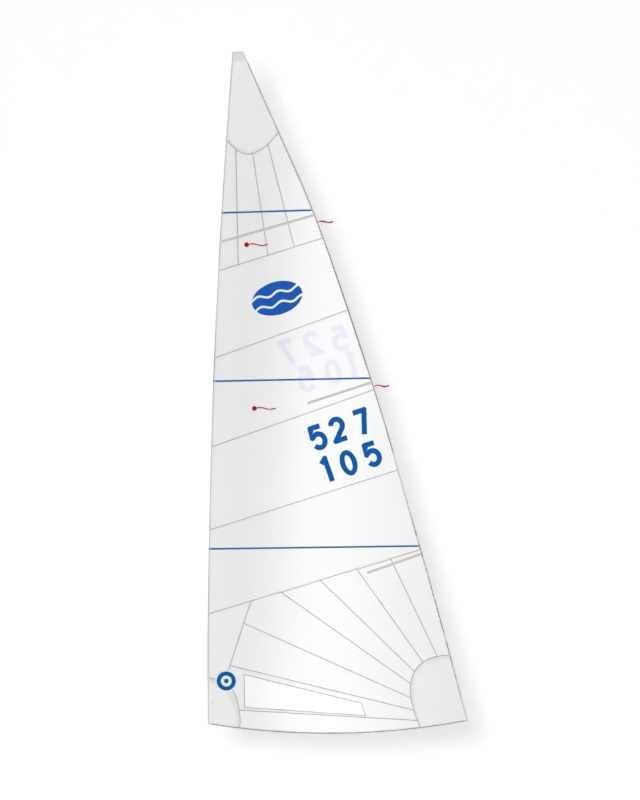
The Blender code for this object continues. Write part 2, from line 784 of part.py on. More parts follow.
def batten(name, inner, outer, along):
    centre, axis, radius = batten_axis(inner, outer, along)
    first = inner + along * (POCKET_END + GAP)
    last = outer - along * POCKET_SETBACK
    start = sail_point(first.x, first.y, BATTEN_LIFT) - centre
    start = (start - axis * start.dot(axis)).normalized()
    end = sail_point(last.x, last.y, BATTEN_LIFT) - centre
    end = (end - axis * end.dot(axis)).normalized()
    sweep = start.angle(end)
    steps = max(2, round(sweep * radius / BATTEN_STEP))
    bm = bmesh.new()
    corners = []
    for lift in (BATTEN_LIFT, BATTEN_LIFT + BATTEN_THICKNESS):
        sides = (-1, 1) if lift == BATTEN_LIFT else (1, -1)
        for side in sides:
            corners.append(bm.verts.new(start * (radius - lift) + axis * side * BATTEN_WIDTH / 2))
    for i in range(4):
        bm.edges.new((corners[i], corners[(i + 1) % 4]))
    bmesh.ops.spin(
        bm, geom=bm.verts[:] + bm.edges[:], cent=(0, 0, 0), axis=axis, angle=sweep, steps=steps)
    bmesh.ops.holes_fill(bm, edges=bm.edges)
    bmesh.ops.recalc_face_normals(bm, faces=bm.faces)
    bm.transform(Matrix.Translation(centre))
    finish(name, bm, material("batten_glass", (0.62, 0.66, 0.55), 0.4), centre)


def battens():
    for name, leech_height, rise, length in BATTENS:
        inner, outer, along = batten_line(leech_height, rise, length)
        batten_pocket(f"batten_pocket_{name}", inner, outer, along)
        batten(f"batten_{name}", inner, outer, along)


# Headboard, its rivets, and the eyes

def headboard_corners():
    low = LUFF_HEIGHT - HEADBOARD_HEIGHT
    fore = LUFF_TAPE_WIDTH + HEADBOARD_CLEARANCE
    aft = HEADBOARD_CLEARANCE
    return [
        (luff_x(low) + fore, low), (leech_x(low) - aft, low),
        (leech_x(LUFF_HEIGHT) - aft, LUFF_HEIGHT), (luff_x(LUFF_HEIGHT) + fore, LUFF_HEIGHT),
    ]


def halyard_place():
    corners = headboard_corners()
    return (corners[2][0] + corners[3][0]) / 2, LUFF_HEIGHT - HALYARD_HOLE_DROP


def rivet_places():
    # One in each corner of the board
    corners = [Vector(corner) for corner in headboard_corners()]
    middle = sum(corners, Vector((0, 0))) / len(corners)
    places = []
    for corner in corners:
        inward = Vector((math.copysign(RIVET_INSET, middle.x - corner.x),
                         math.copysign(RIVET_INSET, middle.y - corner.y)))
        places.append(tuple(corner + inward))
    return places


def rivet_hole_radius():
    return RIVET_BORE + EYE_WALL + GAP


def headboard_holes():
    holes = [(*place, rivet_hole_radius(), RIVET_STEPS) for place in rivet_places()]
    return holes + [(*halyard_place(), HALYARD_BORE + EYE_WALL + GAP, TURN_STEPS)]


def rounded(corners, radius):
    # The same outline with its corners rounded
    points = []
    count = len(corners)
    for i in range(count):
        corner = Vector(corners[i])
        before = (Vector(corners[i - 1]) - corner).normalized()
        after = (Vector(corners[(i + 1) % count]) - corner).normalized()
        half = before.angle(after) / 2
        centre = corner + (before + after).normalized() * radius / math.sin(half)
        start = corner + before * radius / math.tan(half) - centre
        end = corner + after * radius / math.tan(half) - centre
        turn = start.angle_signed(end)
        for step in range(CORNER_STEPS + 1):
            angle = -turn * step / CORNER_STEPS
            cosine, sine = math.cos(angle), math.sin(angle)
            points.append((
                centre.x + start.x * cosine - start.y * sine,
                centre.y + start.x * sine + start.y * cosine,
            ))
    return points


def flanged_ring(x, y, bore, low, high, flange, steps):
    # A ring through what lies between low and high, with a flange beyond each face
    wall = bore + EYE_WALL
    top = high + GAP + EYE_FLANGE_THICKNESS
    bottom = low - GAP - EYE_FLANGE_THICKNESS
    return turned([
        (bore, bottom), (bore, top), (wall + flange, top), (wall + flange, high + GAP), (wall, high + GAP),
        (wall, low - GAP), (wall + flange, low - GAP), (wall + flange, bottom),
    ], x, y, steps)


def headboard():
    patch_low = HEAD_PATCH_LEVEL * LAYER - CLOTH / 2
    patch_high = HEAD_PATCH_LEVEL * LAYER + CLOTH / 2
    skin = material("headboard_white", (0.78, 0.79, 0.80), 0.35)
    outline = rounded(headboard_corners(), HEADBOARD_CORNER)
    spans = {
        "headboard_port": (patch_high + GAP, patch_high + GAP + HEADBOARD_THICKNESS),
        "headboard_starboard": (patch_low - GAP - HEADBOARD_THICKNESS, patch_low - GAP),
    }
    for name, (low, high) in spans.items():
        board = flat_sheet(outline, headboard_holes())
        thicken(board, low, high)
        set_sail(name, board, skin)
    low = spans["headboard_starboard"][0]
    high = spans["headboard_port"][1]
    for i, place in enumerate(rivet_places()):
        rivet = flanged_ring(*place, RIVET_BORE, low, high, RIVET_FLANGE, RIVET_STEPS)
        set_sail(f"headboard_rivet_{i + 1}", rivet, material("aluminium", (0.7, 0.71, 0.72), 0.4, 1.0))
    bush = flanged_ring(*halyard_place(), HALYARD_BORE, low, high, BUSH_FLANGE, TURN_STEPS)
    set_sail("halyard_bush", bush, fitting_metal())


def eyes():
    levels = {
        "tack_eye": TACK_PATCH_LEVEL, "cunningham_eye": TACK_PATCH_LEVEL, "clew_eye": CLEW_PATCH_LEVEL}
    for name, (x, y) in eye_places().items():
        middle = levels[name] * LAYER
        low, high = middle - CLOTH / 2, middle + CLOTH / 2
        ring = flanged_ring(x, y, EYE_BORE, low, high, EYE_FLANGE, TURN_STEPS)
        set_sail(name, ring, fitting_metal())


# Trim

def stripe_outline(luff_height, leech_height):
    half = STRIPE_WIDTH / 2
    fore = LUFF_TAPE_WIDTH + POCKET_SETBACK
    aft = EDGE_TAPE_WIDTH * slant(leech_curve, leech_height) + POCKET_SETBACK
    low, high = luff_height - half, luff_height + half
    aft_low, aft_high = leech_height - half, leech_height + half
    return [
        (luff_x(low) + fore, low), (leech_x(aft_low) - aft, aft_low),
        (leech_x(aft_high) - aft, aft_high), (luff_x(high) + fore, high),
    ]


def draft_stripes():
    for name, luff_height, leech_height, level in STRIPES:
        for side, side_level in (("port", level), ("starboard", STARBOARD_TRIM_LEVEL)):
            stripe = flat_sheet(stripe_outline(luff_height, leech_height))
            on_level(stripe, side_level)
            set_sail(f"draft_stripe_{name}_{side}", stripe, stripe_blue())


def ribbon_outline(route, start=0.0):
    # A strip of even width along a wavy route
    length = route[-1][0]
    places = [start + (length - start) * i / RIBBON_STEPS for i in range(RIBBON_STEPS + 1)]
    lower = [(place, through(route, place) - RIBBON_WIDTH / 2) for place in places]
    upper = [(place, through(route, place) + RIBBON_WIDTH / 2) for place in places]
    return lower + list(reversed(upper))


def tangent_frame(point, x, height):
    # Places a flat piece in the plane that touches the sail at a point
    normal, slope = port_normal(x, height)
    aft = Vector((1, slope, 0)).normalized()
    up = normal.cross(aft)
    frame = Matrix((aft, up, normal)).transposed().to_4x4()
    return Matrix.Translation(point) @ frame


def luff_telltale(name, height, aft_of_luff):
    x = luff_x(height) + aft_of_luff
    dot_level = max(HEAD_GORE_LEVELS)
    pivot = sail_point(x, height)
    for side, level in (("port", dot_level), ("starboard", STARBOARD_TRIM_LEVEL)):
        bpy.ops.mesh.primitive_cylinder_add(
            vertices=TURN_STEPS, radius=DOT_RADIUS, depth=CLOTH, location=(x, height, level * LAYER))
        dot = bpy.context.object
        for collection in list(dot.users_collection):
            collection.objects.unlink(dot)
        set_sail(f"telltale_dot_{name}_{side}", floor_mesh(dot), telltale_red())
    ribbon = flat_sheet([(x + along, height + up) for along, up in ribbon_outline(PORT_RIBBON_ROUTE)])
    low = dot_level * LAYER + CLOTH / 2 + RIBBON_LIFT
    thicken(ribbon, low, low + CLOTH)
    set_sail(f"telltale_{name}_port", ribbon, telltale_red(), pivot)

    ribbon = flat_sheet(ribbon_outline(STARBOARD_RIBBON_ROUTE))
    high = STARBOARD_TRIM_LEVEL * LAYER - CLOTH / 2 - RIBBON_LIFT
    thicken(ribbon, high - CLOTH, high)
    ribbon.transform(tangent_frame(pivot, x, height))
    finish(f"telltale_{name}_starboard", ribbon, telltale_red(), pivot)


def leech_telltale(name, height):
    x = leech_x(height)
    middle = CLEW_PATCH_LEVEL * LAYER / 2
    pivot = sail_point(x, height, middle)
    lean = (leech_x(height - RIBBON_WIDTH) - leech_x(height + RIBBON_WIDTH)) / (2 * RIBBON_WIDTH)
    start = LEECH_RIBBON_GAP * math.hypot(1, lean) + lean * RIBBON_WIDTH / 2
    ribbon = flat_sheet(ribbon_outline(LEECH_RIBBON_ROUTE, start))
    thicken(ribbon, -CLOTH / 2, CLOTH / 2)
    ribbon.transform(tangent_frame(pivot, x, height))
    finish(f"telltale_leech_{name}", ribbon, telltale_red(), pivot)


def trim():
    draft_stripes()
    for name, height, aft_of_luff in LUFF_TELLTALES:
        luff_telltale(name, height, aft_of_luff)
    for name, height in LEECH_TELLTALES:
        leech_telltale(name, height)


def build():
    for thing in list(bpy.data.objects):
        bpy.data.objects.remove(thing)
    bpy.context.scene.collection.children.link(PARTS)
    corner_patches()
    head_gores()
    cross_panels()
    tack_panel()
    clew_gores()
    edges_and_ropes()
    battens()
    headboard()
    eyes()
    trim()


build()
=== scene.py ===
# The dressed mainsail: cloth, tapes, stickers and fittings laid on the frame's curved surface.
#
# Pieces are made on a flat floor, x aft, y up the sail and z towards port, and are then set: each point
# moves to the flying shape, with the light creases that load draws in the cloth.
import math

import bmesh
import bpy
import numpy as np
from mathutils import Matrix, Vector
from mathutils.bvhtree import BVHTree


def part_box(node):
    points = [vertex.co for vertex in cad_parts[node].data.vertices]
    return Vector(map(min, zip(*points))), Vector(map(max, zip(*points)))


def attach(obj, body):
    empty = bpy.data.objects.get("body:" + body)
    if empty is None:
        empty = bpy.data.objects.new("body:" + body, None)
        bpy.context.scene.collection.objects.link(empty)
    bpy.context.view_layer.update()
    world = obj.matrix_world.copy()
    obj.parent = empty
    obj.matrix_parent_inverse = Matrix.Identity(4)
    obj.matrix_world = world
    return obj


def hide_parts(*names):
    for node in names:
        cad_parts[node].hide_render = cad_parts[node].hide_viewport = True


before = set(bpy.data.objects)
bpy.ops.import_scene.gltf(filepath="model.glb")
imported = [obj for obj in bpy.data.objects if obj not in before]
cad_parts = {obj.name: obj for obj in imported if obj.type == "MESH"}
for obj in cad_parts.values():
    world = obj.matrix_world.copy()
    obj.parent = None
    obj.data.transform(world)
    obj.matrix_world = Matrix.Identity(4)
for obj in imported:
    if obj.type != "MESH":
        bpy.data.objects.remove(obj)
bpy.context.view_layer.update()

scene = bpy.context.scene
scene.view_settings.view_transform = "Standard"

# The camera first: square on to the sail, as in the photograph
photo = {"width": 640, "height": 800, "metresPerPixel": 0.01136, "tack": (207.6, 724.0)}


def fromPhoto(px, py):
    # Place on the sail plan, in metres, of a pixel of the photograph
    return ((px - photo["tack"][0]) * photo["metresPerPixel"],
            (photo["tack"][1] - py) * photo["metresPerPixel"])


cameraData = bpy.data.cameras.new("camera")
cameraData.type = "ORTHO"
cameraData.ortho_scale = photo["height"] * photo["metresPerPixel"]
cameraData.clip_end = 100
camera = bpy.data.objects.new("camera", cameraData)
middleX, middleZ = fromPhoto(photo["width"] / 2, photo["height"] / 2)
camera.location = (middleX, -20, middleZ)
camera.rotation_euler = (math.radians(90), 0, 0)
scene.collection.objects.link(camera)
scene.camera = camera


# Shader words: arithmetic on a Value adds Math nodes, and Nodes.node makes any other node

class Value:
    def __init__(self, owner, socket):
        self.owner = owner
        self.socket = socket

    def math(self, operation, other=None, flip=False):
        pair = [self] if other is None else [self, other]
        if flip:
            pair.reverse()
        return self.owner.node("ShaderNodeMath", {"operation": operation}, dict(enumerate(pair)))

    def __add__(self, other):
        return self.math("ADD", other)

    __radd__ = __add__

    def __sub__(self, other):
        return self.math("SUBTRACT", other)

    def __rsub__(self, other):
        return self.math("SUBTRACT", other, flip=True)

    def __mul__(self, other):
        return self.math("MULTIPLY", other)

    __rmul__ = __mul__

    def sine(self):
        return self.math("SINE")

    def most(self, other):
        return self.math("MAXIMUM", other)

    def ease(self, low, high):
        return self.owner.node("ShaderNodeMapRange", {"interpolation_type": "SMOOTHSTEP"},
                               {"Value": self, "From Min": low, "From Max": high})


class Nodes:
    # A node tree being filled
    def __init__(self, tree):
        self.tree = tree

    def feed(self, socket, value):
        if isinstance(value, Value):
            self.tree.links.new(value.socket, socket)
        else:
            socket.default_value = value

    def node(self, kind, settings=None, inputs=None, output=0):
        made = self.tree.nodes.new(kind)
        for key, value in (settings or {}).items():
            setattr(made, key, value)
        for key, value in (inputs or {}).items():
            self.feed(made.inputs[key], value)
        return Value(self, made.outputs[output])

    def inSight(self):
        # 1 for rays that show a thing: to the camera, mirrored or through glass
        path = self.node("ShaderNodeLightPath").socket.node
        camera, glossy, through = [Value(self, path.outputs[f"Is {kind} Ray"])
                                   for kind in ("Camera", "Glossy", "Transmission")]
        return camera.most(glossy).most(through)


class Finish(Nodes):
    # A material being made. look holds the colour, roughness and other constants of its Principled shader
    def __init__(self, name, color, roughness=0.5, **look):
        self.material = bpy.data.materials.new(name)
        self.material.use_nodes = True
        super().__init__(self.material.node_tree)
        self.shader = self.tree.nodes["Principled BSDF"]
        self.color = color
        self.set("Base Color", (*color, 1))
        self.set("Roughness", roughness)
        for socket, value in look.items():
            self.set(socket, value)

    def set(self, socket, value):
        self.feed(self.shader.inputs[socket], value)

    def plan(self):
        # Cloth coordinates in metres: along the piece's warp and across it
        place = self.node("ShaderNodeUVMap", {"uv_map": "cloth"})
        along = self.node("ShaderNodeSeparateXYZ", inputs={"Vector": place})
        across = Value(self, along.socket.node.outputs[1])
        return place, along, across

    def space(self):
        return self.node("ShaderNodeTexCoord", output=3)

    def noise(self, place, scale, detail=2.0):
        return self.node("ShaderNodeTexNoise", inputs={"Vector": place, "Scale": scale, "Detail": detail})

    def shade(self, amount, color=None):
        # The colour times an amount that varies about 1
        tint = (*(color or self.color), 1)
        return self.node("ShaderNodeMix", {"data_type": "RGBA", "blend_type": "MULTIPLY"},
                         {"Factor": 1.0, "A": tint, "B": self.gray(amount)}, output=2)

    def gray(self, amount):
        return self.node("ShaderNodeCombineColor", inputs={0: amount, 1: amount, 2: amount})

    def bump(self, height):
        self.set("Normal", self.node(
            "ShaderNodeBump", inputs={"Height": height, "Distance": 1.0, "Strength": 1.0}))


# Cloth in the hand: cloudiness, fine marks and crinkle per metre, and how deep the crinkle stands
handling = {"cloudy": 1.3, "fine": 38.0, "crinkle": 11.0, "depth": 0.0011, "wear": 0.03, "weave": 0.02}


def woven(name, color, yarn, relief, roughness, solid=1.0, **look):
    # Cloth with its weave, a slight unevenness of shade and the handling marks of a used sail. solid is how
    # much of what lies behind a layer the cloth hides; a layer's inner faces hide nothing more
    finish = Finish(name, color, roughness, **look)
    place, along, across = finish.plan()
    turns = 2 * math.pi / yarn
    warp = (along * turns).sine()
    weft = (across * turns).sine()
    weave = warp * weft
    cloudy = finish.noise(place, handling["cloudy"], 4.0)
    fine = finish.noise(place, handling["fine"], 3.0)
    crinkle = finish.noise(place, handling["crinkle"], 2.0)
    tone = finish.node("ShaderNodeAttribute", {"attribute_name": "tone"}, output=2)
    wear = handling["wear"]
    amount = tone * (1 + wear * (cloudy - 0.5) + 0.5 * wear * (fine - 0.5) + handling["weave"] * weave)
    finish.set("Base Color", finish.shade(amount))
    finish.set("Roughness", roughness + 0.10 * (fine - 0.5))
    if solid < 1:
        inner = finish.node("ShaderNodeNewGeometry", output=6)
        finish.set("Alpha", (1 - inner) * solid)
    finish.bump(weave * relief + crinkle * handling["depth"])
    return finish.material


def clearFilm(name, color, solid):
    # Window film with a faint haze, and the soft waves that rolling leaves in it
    finish = Finish(name, color, 0.38, **{"Specular IOR Level": 0.8})
    place = finish.plan()[0]
    haze = finish.noise(place, 3.0, 4.0)
    inner = finish.node("ShaderNodeNewGeometry", output=6)
    finish.set("Alpha", (1 - inner) * (solid - 0.05 + 0.10 * haze))
    finish.set("Roughness", 0.33 + 0.10 * haze)
    finish.bump(finish.noise(place, 5.0, 1.0) * 0.002)
    return finish.material


def metal(name, color, roughness, grain):
    # Turned or pressed metal, with fine marks and duller patches
    finish = Finish(name, color, roughness, Metallic=1.0)
    place = finish.space()
    marks = finish.noise(place, grain, 3.0)
    dull = finish.noise(place, grain / 12, 2.0)
    finish.set("Base Color", finish.shade(0.94 + 0.12 * dull))
    finish.set("Roughness", roughness + 0.16 * (marks - 0.5) + 0.12 * (dull - 0.5))
    finish.bump(marks * 0.00003)
    return finish.material


def satinPaint(name, color, roughness):
    # Sprayed paint: a slight orange peel, and scuffs that are a little darker and duller
    finish = Finish(name, color, roughness)
    place = finish.space()
    scuffs = finish.noise(place, 26.0, 5.0).ease(0.58, 0.72)
    finish.set("Base Color", finish.shade(1 - 0.06 * scuffs))
    finish.set("Roughness", roughness + 0.18 * scuffs)
    finish.bump(finish.noise(place, 420.0, 1.0) * 0.00006)
    return finish.material


def glassRod(name, color, slope):
    # Pultruded glass: long fibres in a clear resin, drawn along the batten
    finish = Finish(name, color, 0.32, **{"Coat Weight": 0.4})
    turned = finish.node("ShaderNodeVectorRotate", {"rotation_type": "Y_AXIS"},
                         {"Vector": finish.space(), "Angle": slope})
    drawn = finish.node("ShaderNodeVectorMath", {"operation": "MULTIPLY"},
                        {0: turned, 1: (4.0, 900.0, 900.0)})
    fibres = finish.noise(drawn, 1.0, 3.0)
    finish.set("Base Color", finish.shade(0.86 + 0.28 * fibres))
    finish.set("Roughness", 0.26 + 0.16 * fibres)
    finish.bump(fibres * 0.00004)
    return finish.material


def twisted(name, color):
    # Sewing thread, light and dark along its ply
    finish = Finish(name, color, 0.6)
    ply = finish.noise(finish.space(), 1400.0, 1.0)
    finish.set("Base Color", finish.shade(0.86 + 0.28 * ply))
    finish.bump(ply * 0.00008)
    return finish.material


def paintedGlowBack(name, color, glow):
    # The stuck side of a digit, or a ribbon's side against the cloth, with a painted glow that stands in
    # for daylight through the cloth
    finish = Finish(name, color, 0.7)
    patchy = finish.noise(finish.space(), 60.0, 3.0)
    finish.set("Base Color", finish.shade(0.94 + 0.12 * patchy))
    # Painted glow: emission standing in for the daylight that comes through the cloth
    finish.set("Emission Color", finish.shade(0.94 + 0.12 * patchy, glow))
    finish.set("Emission Strength", 1.0)
    return finish.material


clothHides = 0.83
matt = {"Specular IOR Level": 0.05}
battenSlopes = {"top": math.atan(0.2872), "middle": math.atan(0.3247), "lower": math.atan(0.3515)}
finishes = {
    "sailcloth": woven("sailcloth", (0.84, 0.84, 0.845), 0.0009, 0.00003, 0.41, solid=clothHides,
                       **{"Specular IOR Level": 0.95}),
    # Lap band: darker for the seam's tape, stitching and grime, and painted shade of the doubled cloth
    "lap": woven("sailcloth_lap_painted_shade", (0.37, 0.37, 0.375), 0.0009, 0.00003, 0.5, solid=clothHides),
    "tape": woven("edge_tape", (0.25, 0.255, 0.26), 0.0016, 0.00006, 0.7),
    "pocket": woven("pocket_tape", (0.59, 0.59, 0.58), 0.0014, 0.00006, 0.65),
    "blue": woven("sticker_blue", (0.002, 0.110, 0.42), 0.0011, 0.00002, 0.55, **matt),
    "stripeBlue": woven("stripe_blue", (0.010, 0.150, 0.40), 0.0011, 0.00002, 0.55, **matt),
    "emblemBlue": woven("emblem_blue", (0.012, 0.107, 0.485), 0.0011, 0.00002, 0.55, **matt),
    "white": woven("sticker_white", (0.84, 0.85, 0.86), 0.0011, 0.00002, 0.45),
    "dotRed": woven("telltale_dot_red", (0.33, 0.012, 0.010), 0.0011, 0.00002, 0.55, **matt),
    "ribbonRed": woven("telltale_ribbon_red", (0.46, 0.030, 0.016), 0.0008, 0.00004, 0.55, **matt),
    "rope": woven("rope_braid", (0.74, 0.74, 0.71), 0.0030, 0.0004, 0.8),
    "line": woven("line_braid", (0.48, 0.48, 0.48), 0.0009, 0.0001, 0.8),
    "thread": twisted("sewing_thread", (0.70, 0.70, 0.71)),
    # The stuck side and the ribbon's cloth side glow: painted light for daylight through the cloth
    "stuckSideGlow": paintedGlowBack("sticker_stuck_side_painted_glow", (0.004, 0.107, 0.43), (0.0, 0.07, 0.42)),
    "clothSideGlow": paintedGlowBack("ribbon_cloth_side_painted_glow", (0.46, 0.030, 0.016), (0.20, 0.015, 0.01)),
    "film": clearFilm("window_film", (0.97, 0.975, 0.98), 0.84),
    "board": satinPaint("headboard_paint", (0.80, 0.80, 0.805), 0.42),
    "boardRim": satinPaint("headboard_rim_paint", (0.44, 0.445, 0.45), 0.5),
    "aluminium": metal("aluminium", (0.60, 0.605, 0.61), 0.45, 900.0),
    "steel": metal("stainless", (0.56, 0.565, 0.57), 0.42, 700.0),
    **{f"glass_{name}": glassRod(f"batten_glass_{name}", (0.62, 0.66, 0.55), slope)
       for name, slope in battenSlopes.items()},
}
print("finishes made")


# The flying shape, as the frame has it: an arc of two radii on rulings that lean with the luff

shape = {
    "lean": 0.281 / 7.637, "entry": math.radians(18.5), "frontRadius": 3.6, "aftRadius": 8.0,
    "join": 1.05, "fold": 0.10,
}
# What counts as one point, as flat and as a sliver, and from how many degrees an edge is sharp
meshing = {"same": 1e-6, "flat": 0.002, "sliver": 3e-5, "sharp": 50}
grid = {"aft": 0.025, "up": 0.03}


def arcDepth(aft):
    frontX = shape["frontRadius"] * math.sin(shape["entry"])
    frontY = -shape["frontRadius"] * math.cos(shape["entry"])
    front = frontY + np.sqrt(shape["frontRadius"]**2 - (np.minimum(aft, shape["join"]) - frontX)**2)
    joinSine = (frontX - shape["join"]) / shape["frontRadius"]
    aftX = shape["join"] + shape["aftRadius"] * joinSine
    aftY = frontY + (shape["frontRadius"] - shape["aftRadius"]) * math.sqrt(1 - joinSine**2)
    back = aftY + np.sqrt(shape["aftRadius"]**2 - (np.maximum(aft, shape["join"]) - aftX)**2)
    return np.where(aft <= shape["join"], front, back)


def smoothDepth(x, up):
    return arcDepth(x - shape["lean"] * up)


def foldedDepth(x, up):
    # The frame's own surface, flat between folds
    place = (x - shape["lean"] * up) / shape["fold"]
    fold = np.floor(place)
    low = arcDepth(fold * shape["fold"])
    high = arcDepth((fold + 1) * shape["fold"])
    return low + (high - low) * (place - fold)


def boxCentre(node):
    low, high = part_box(node)
    return (low.x + high.x) / 2, (low.z + high.z) / 2


corners = {"tack": (0.0, 0.0), "clew": (2.958, 0.036), "head": (0.3435, 7.637)}
# Fans of creases out of each corner: height, how many to the radian, where they are deepest, and reach
fans = {"tack": (0.0009, 13.0, 0.55, 1.4), "clew": (0.0014, 11.0, 0.75, 2.2),
        "head": (0.0006, 17.0, 0.9, 1.8)}
luffPuckers = {"height": 0.0006, "every": 0.31, "reach": 0.16}
swells = ((0.0016, 1.9, 0.7, 0.3), (0.0010, -1.1, 3.1, 1.9), (0.0008, 3.7, 1.3, 4.0))


# Within this share of a quiet place's radius the cloth is smooth. Battens are quiet along their length
calming = {"core": 0.5, "battenReach": 0.16, "battenCore": 0.3}


def quietPlaces():
    # Creases die out round what is stiff or swings: place and radius
    places = [(boxCentre(node), 0.14) for node in ("tack_eye", "cunningham_eye", "clew_eye")]
    places += [(boxCentre(node), 0.5) for node in ("telltale_dot_upper_port", "telltale_dot_lower_port")]
    places.append((boxCentre("headboard_port"), 0.22))
    places += [(boxCentre(node), 0.12) for node in ("telltale_leech_upper", "telltale_leech_lower")]
    return places


def battenEnds(name):
    # Ends of a batten's middle line on the plan, from the frame: its box less its width
    low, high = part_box(f"batten_{name}")
    slope = battenSlopes[name]
    half = 0.009
    return ((low.x + half * math.sin(slope), low.z + half * math.cos(slope)),
            (high.x - half * math.sin(slope), high.z - half * math.cos(slope)))


quiet = quietPlaces()
battenLines = [battenEnds(name) for name in ("top", "middle", "lower")]


def toSegment(x, up, start, end):
    run = np.array(end) - np.array(start)
    share = np.clip(((x - start[0]) * run[0] + (up - start[1]) * run[1]) / (run @ run), 0, 1)
    return np.hypot(x - start[0] - share * run[0], up - start[1] - share * run[1])


def eased(share):
    share = np.clip(share, 0, 1)
    return share**2 * (3 - 2 * share)


def creases(x, up):
    # How far the cloth stands off the flying shape, towards port
    rise = np.zeros_like(x)
    for name, (height, turns, deepest, reach) in fans.items():
        cornerX, cornerUp = corners[name]
        away = np.hypot(x - cornerX, up - cornerUp)
        angle = np.arctan2(up - cornerUp, np.abs(x - cornerX))
        swell = np.clip(away / deepest, 0, 1)**2 * np.clip(1 - away / reach, 0, 1)
        rise += height * swell * np.sin(turns * angle + 1.7 * np.sin(2.3 * angle))
    inboard = x - shape["lean"] * up
    fade = np.exp(-np.clip(inboard, 0, 10) / luffPuckers["reach"])
    turn = 2 * math.pi * up / luffPuckers["every"] + np.sin(1.3 * up)
    rise += luffPuckers["height"] * fade * np.sin(turn)
    for height, turnX, turnUp, start in swells:
        rise += height * np.sin(turnX * x + turnUp * up + start)
    calm = np.ones_like(x)
    for (placeX, placeUp), radius in quiet:
        calm *= eased(np.hypot(x - placeX, up - placeUp) / radius - calming["core"])
    for start, end in battenLines:
        calm *= eased(toSegment(x, up, start, end) / calming["battenReach"] - calming["battenCore"])
    return rise * calm


def clothAlong(x, up):
    # Distance along the developed cloth, with the curve let out
    radius = shape["frontRadius"]
    sine = (radius * math.sin(shape["entry"]) - (x - shape["lean"] * up)) / radius
    return radius * (shape["entry"] - np.arcsin(np.clip(sine, -0.6, 0.6))) + shape["lean"] * up


# Floor tools

def laidFlat(node):
    # A frame node's mesh, welded and laid on the floor
    bm = bmesh.new()
    bm.from_mesh(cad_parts[node].data)
    bmesh.ops.remove_doubles(bm, verts=bm.verts, dist=meshing["same"])
    points = np.array([vert.co for vert in bm.verts])
    lift = foldedDepth(points[:, 0], points[:, 2]) - points[:, 1]
    for vert, port in zip(bm.verts, np.round(lift, 5)):
        vert.co = (vert.co.x, vert.co.z, port)
    bmesh.ops.dissolve_limit(bm, angle_limit=meshing["flat"], verts=bm.verts, edges=bm.edges)
    return bm


def cut(bm, place, normal, parts=None):
    # A straight cut through the piece, or through some of its parts
    if parts is None:
        parts = bm.verts[:] + bm.edges[:] + bm.faces[:]
    bmesh.ops.bisect_plane(bm, geom=parts, dist=meshing["same"], plane_co=place, plane_no=normal)


def cutGrid(bm, aft=None, up=None):
    # Cuts on lines that all pieces share, so that layers bend alike
    bmesh.ops.triangulate(bm, faces=[face for face in bm.faces if len(face.verts) > 4])
    for normal, spacing in ((Vector((1, -shape["lean"], 0)), aft or grid["aft"]),
                            (Vector((0, 1, 0)), up or grid["up"])):
        reach = [vert.co.dot(normal) for vert in bm.verts]
        for k in range(math.floor(min(reach) / spacing) + 1, math.ceil(max(reach) / spacing)):
            cut(bm, normal * (k * spacing / normal.length_squared), normal)


def longSide(points):
    # Direction of the smallest rectangle round the outline, and its two sides
    best = None
    for angle in np.radians(np.arange(0, 180, 1.0)):
        along = points @ np.array((math.cos(angle), math.sin(angle)))
        across = points @ np.array((-math.sin(angle), math.cos(angle)))
        sides = (np.ptp(along), np.ptp(across))
        if sides[0] >= sides[1] and (best is None or sides[0] * sides[1] < best[0]):
            best = (sides[0] * sides[1], angle, sides)
    return best[1], best[2]


# A sheet's sides are at least this long, and it fills at least this share of the rectangle round it
sheetLimits = {"side": 0.01, "share": 0.3}


def setSail(name, bm, skins, body="sail", replaces=(), held="stretched", tone=1.0, still=False):
    bmesh.ops.dissolve_degenerate(bm, dist=meshing["sliver"], edges=bm.edges)
    mesh = bpy.data.meshes.new(name)
    bm.to_mesh(mesh)
    bm.free()
    count = len(mesh.vertices)
    points = np.zeros(count * 3)
    mesh.vertices.foreach_get("co", points)
    points = points.reshape(-1, 3)
    x, up, port = points.T
    developed = np.stack((clothAlong(x, up), up), axis=1)
    angle, sides = longSide(developed)
    cosine, sine = math.cos(angle), math.sin(angle)
    turned = developed @ np.array(((cosine, -sine), (sine, cosine)))
    loops = np.zeros(len(mesh.loops), dtype=int)
    mesh.loops.foreach_get("vertex_index", loops)
    cloth = mesh.uv_layers.new(name="cloth")
    cloth.data.foreach_set("uv", turned[loops].ravel())
    tones = mesh.attributes.new("tone", "FLOAT", "POINT")
    tones.data.foreach_set("value", np.full(count, tone))
    stand = 0 if still else creases(x, up)
    setPoints = np.stack((x, smoothDepth(x, up) - port - stand, up), axis=1)
    mesh.vertices.foreach_set("co", setPoints.ravel())
    for skin in skins:
        mesh.materials.append(finishes[skin])
    piece = bpy.data.objects.new(name, mesh)
    scene.collection.objects.link(piece)
    mesh.shade_smooth()
    mesh.set_sharp_from_angle(angle=math.radians(meshing["sharp"]))
    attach(piece, body)
    if replaces:
        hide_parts(*replaces)
    if held:
        area = sum(face.area for face in mesh.polygons) / 2
        length, width = (max(side, sheetLimits["side"]) for side in sides)
        if area < sheetLimits["share"] * width * length or area > width * length:
            width = max(area / length, sheetLimits["side"])  # a bowed or folded strip, straightened
        min(area, width * length)
    return piece


# Cloth panels, with a darker band where one is lapped on the next: partly the seam's own tape, stitching
# and grime, partly painted shade of the doubled cloth

laps = {"width": 0.0085, "shortest": 0.012}
patchEdge = {"fade": 0.09}
panelNodes = (
    [f"head_gore_{i}" for i in range(1, 5)] + [f"cross_panel_{i}" for i in range(1, 5)] + ["tack_panel"]
    + [f"clew_gore_{i}" for i in range(1, 9)] + ["head_patch", "clew_patch", "tack_patch"]
)
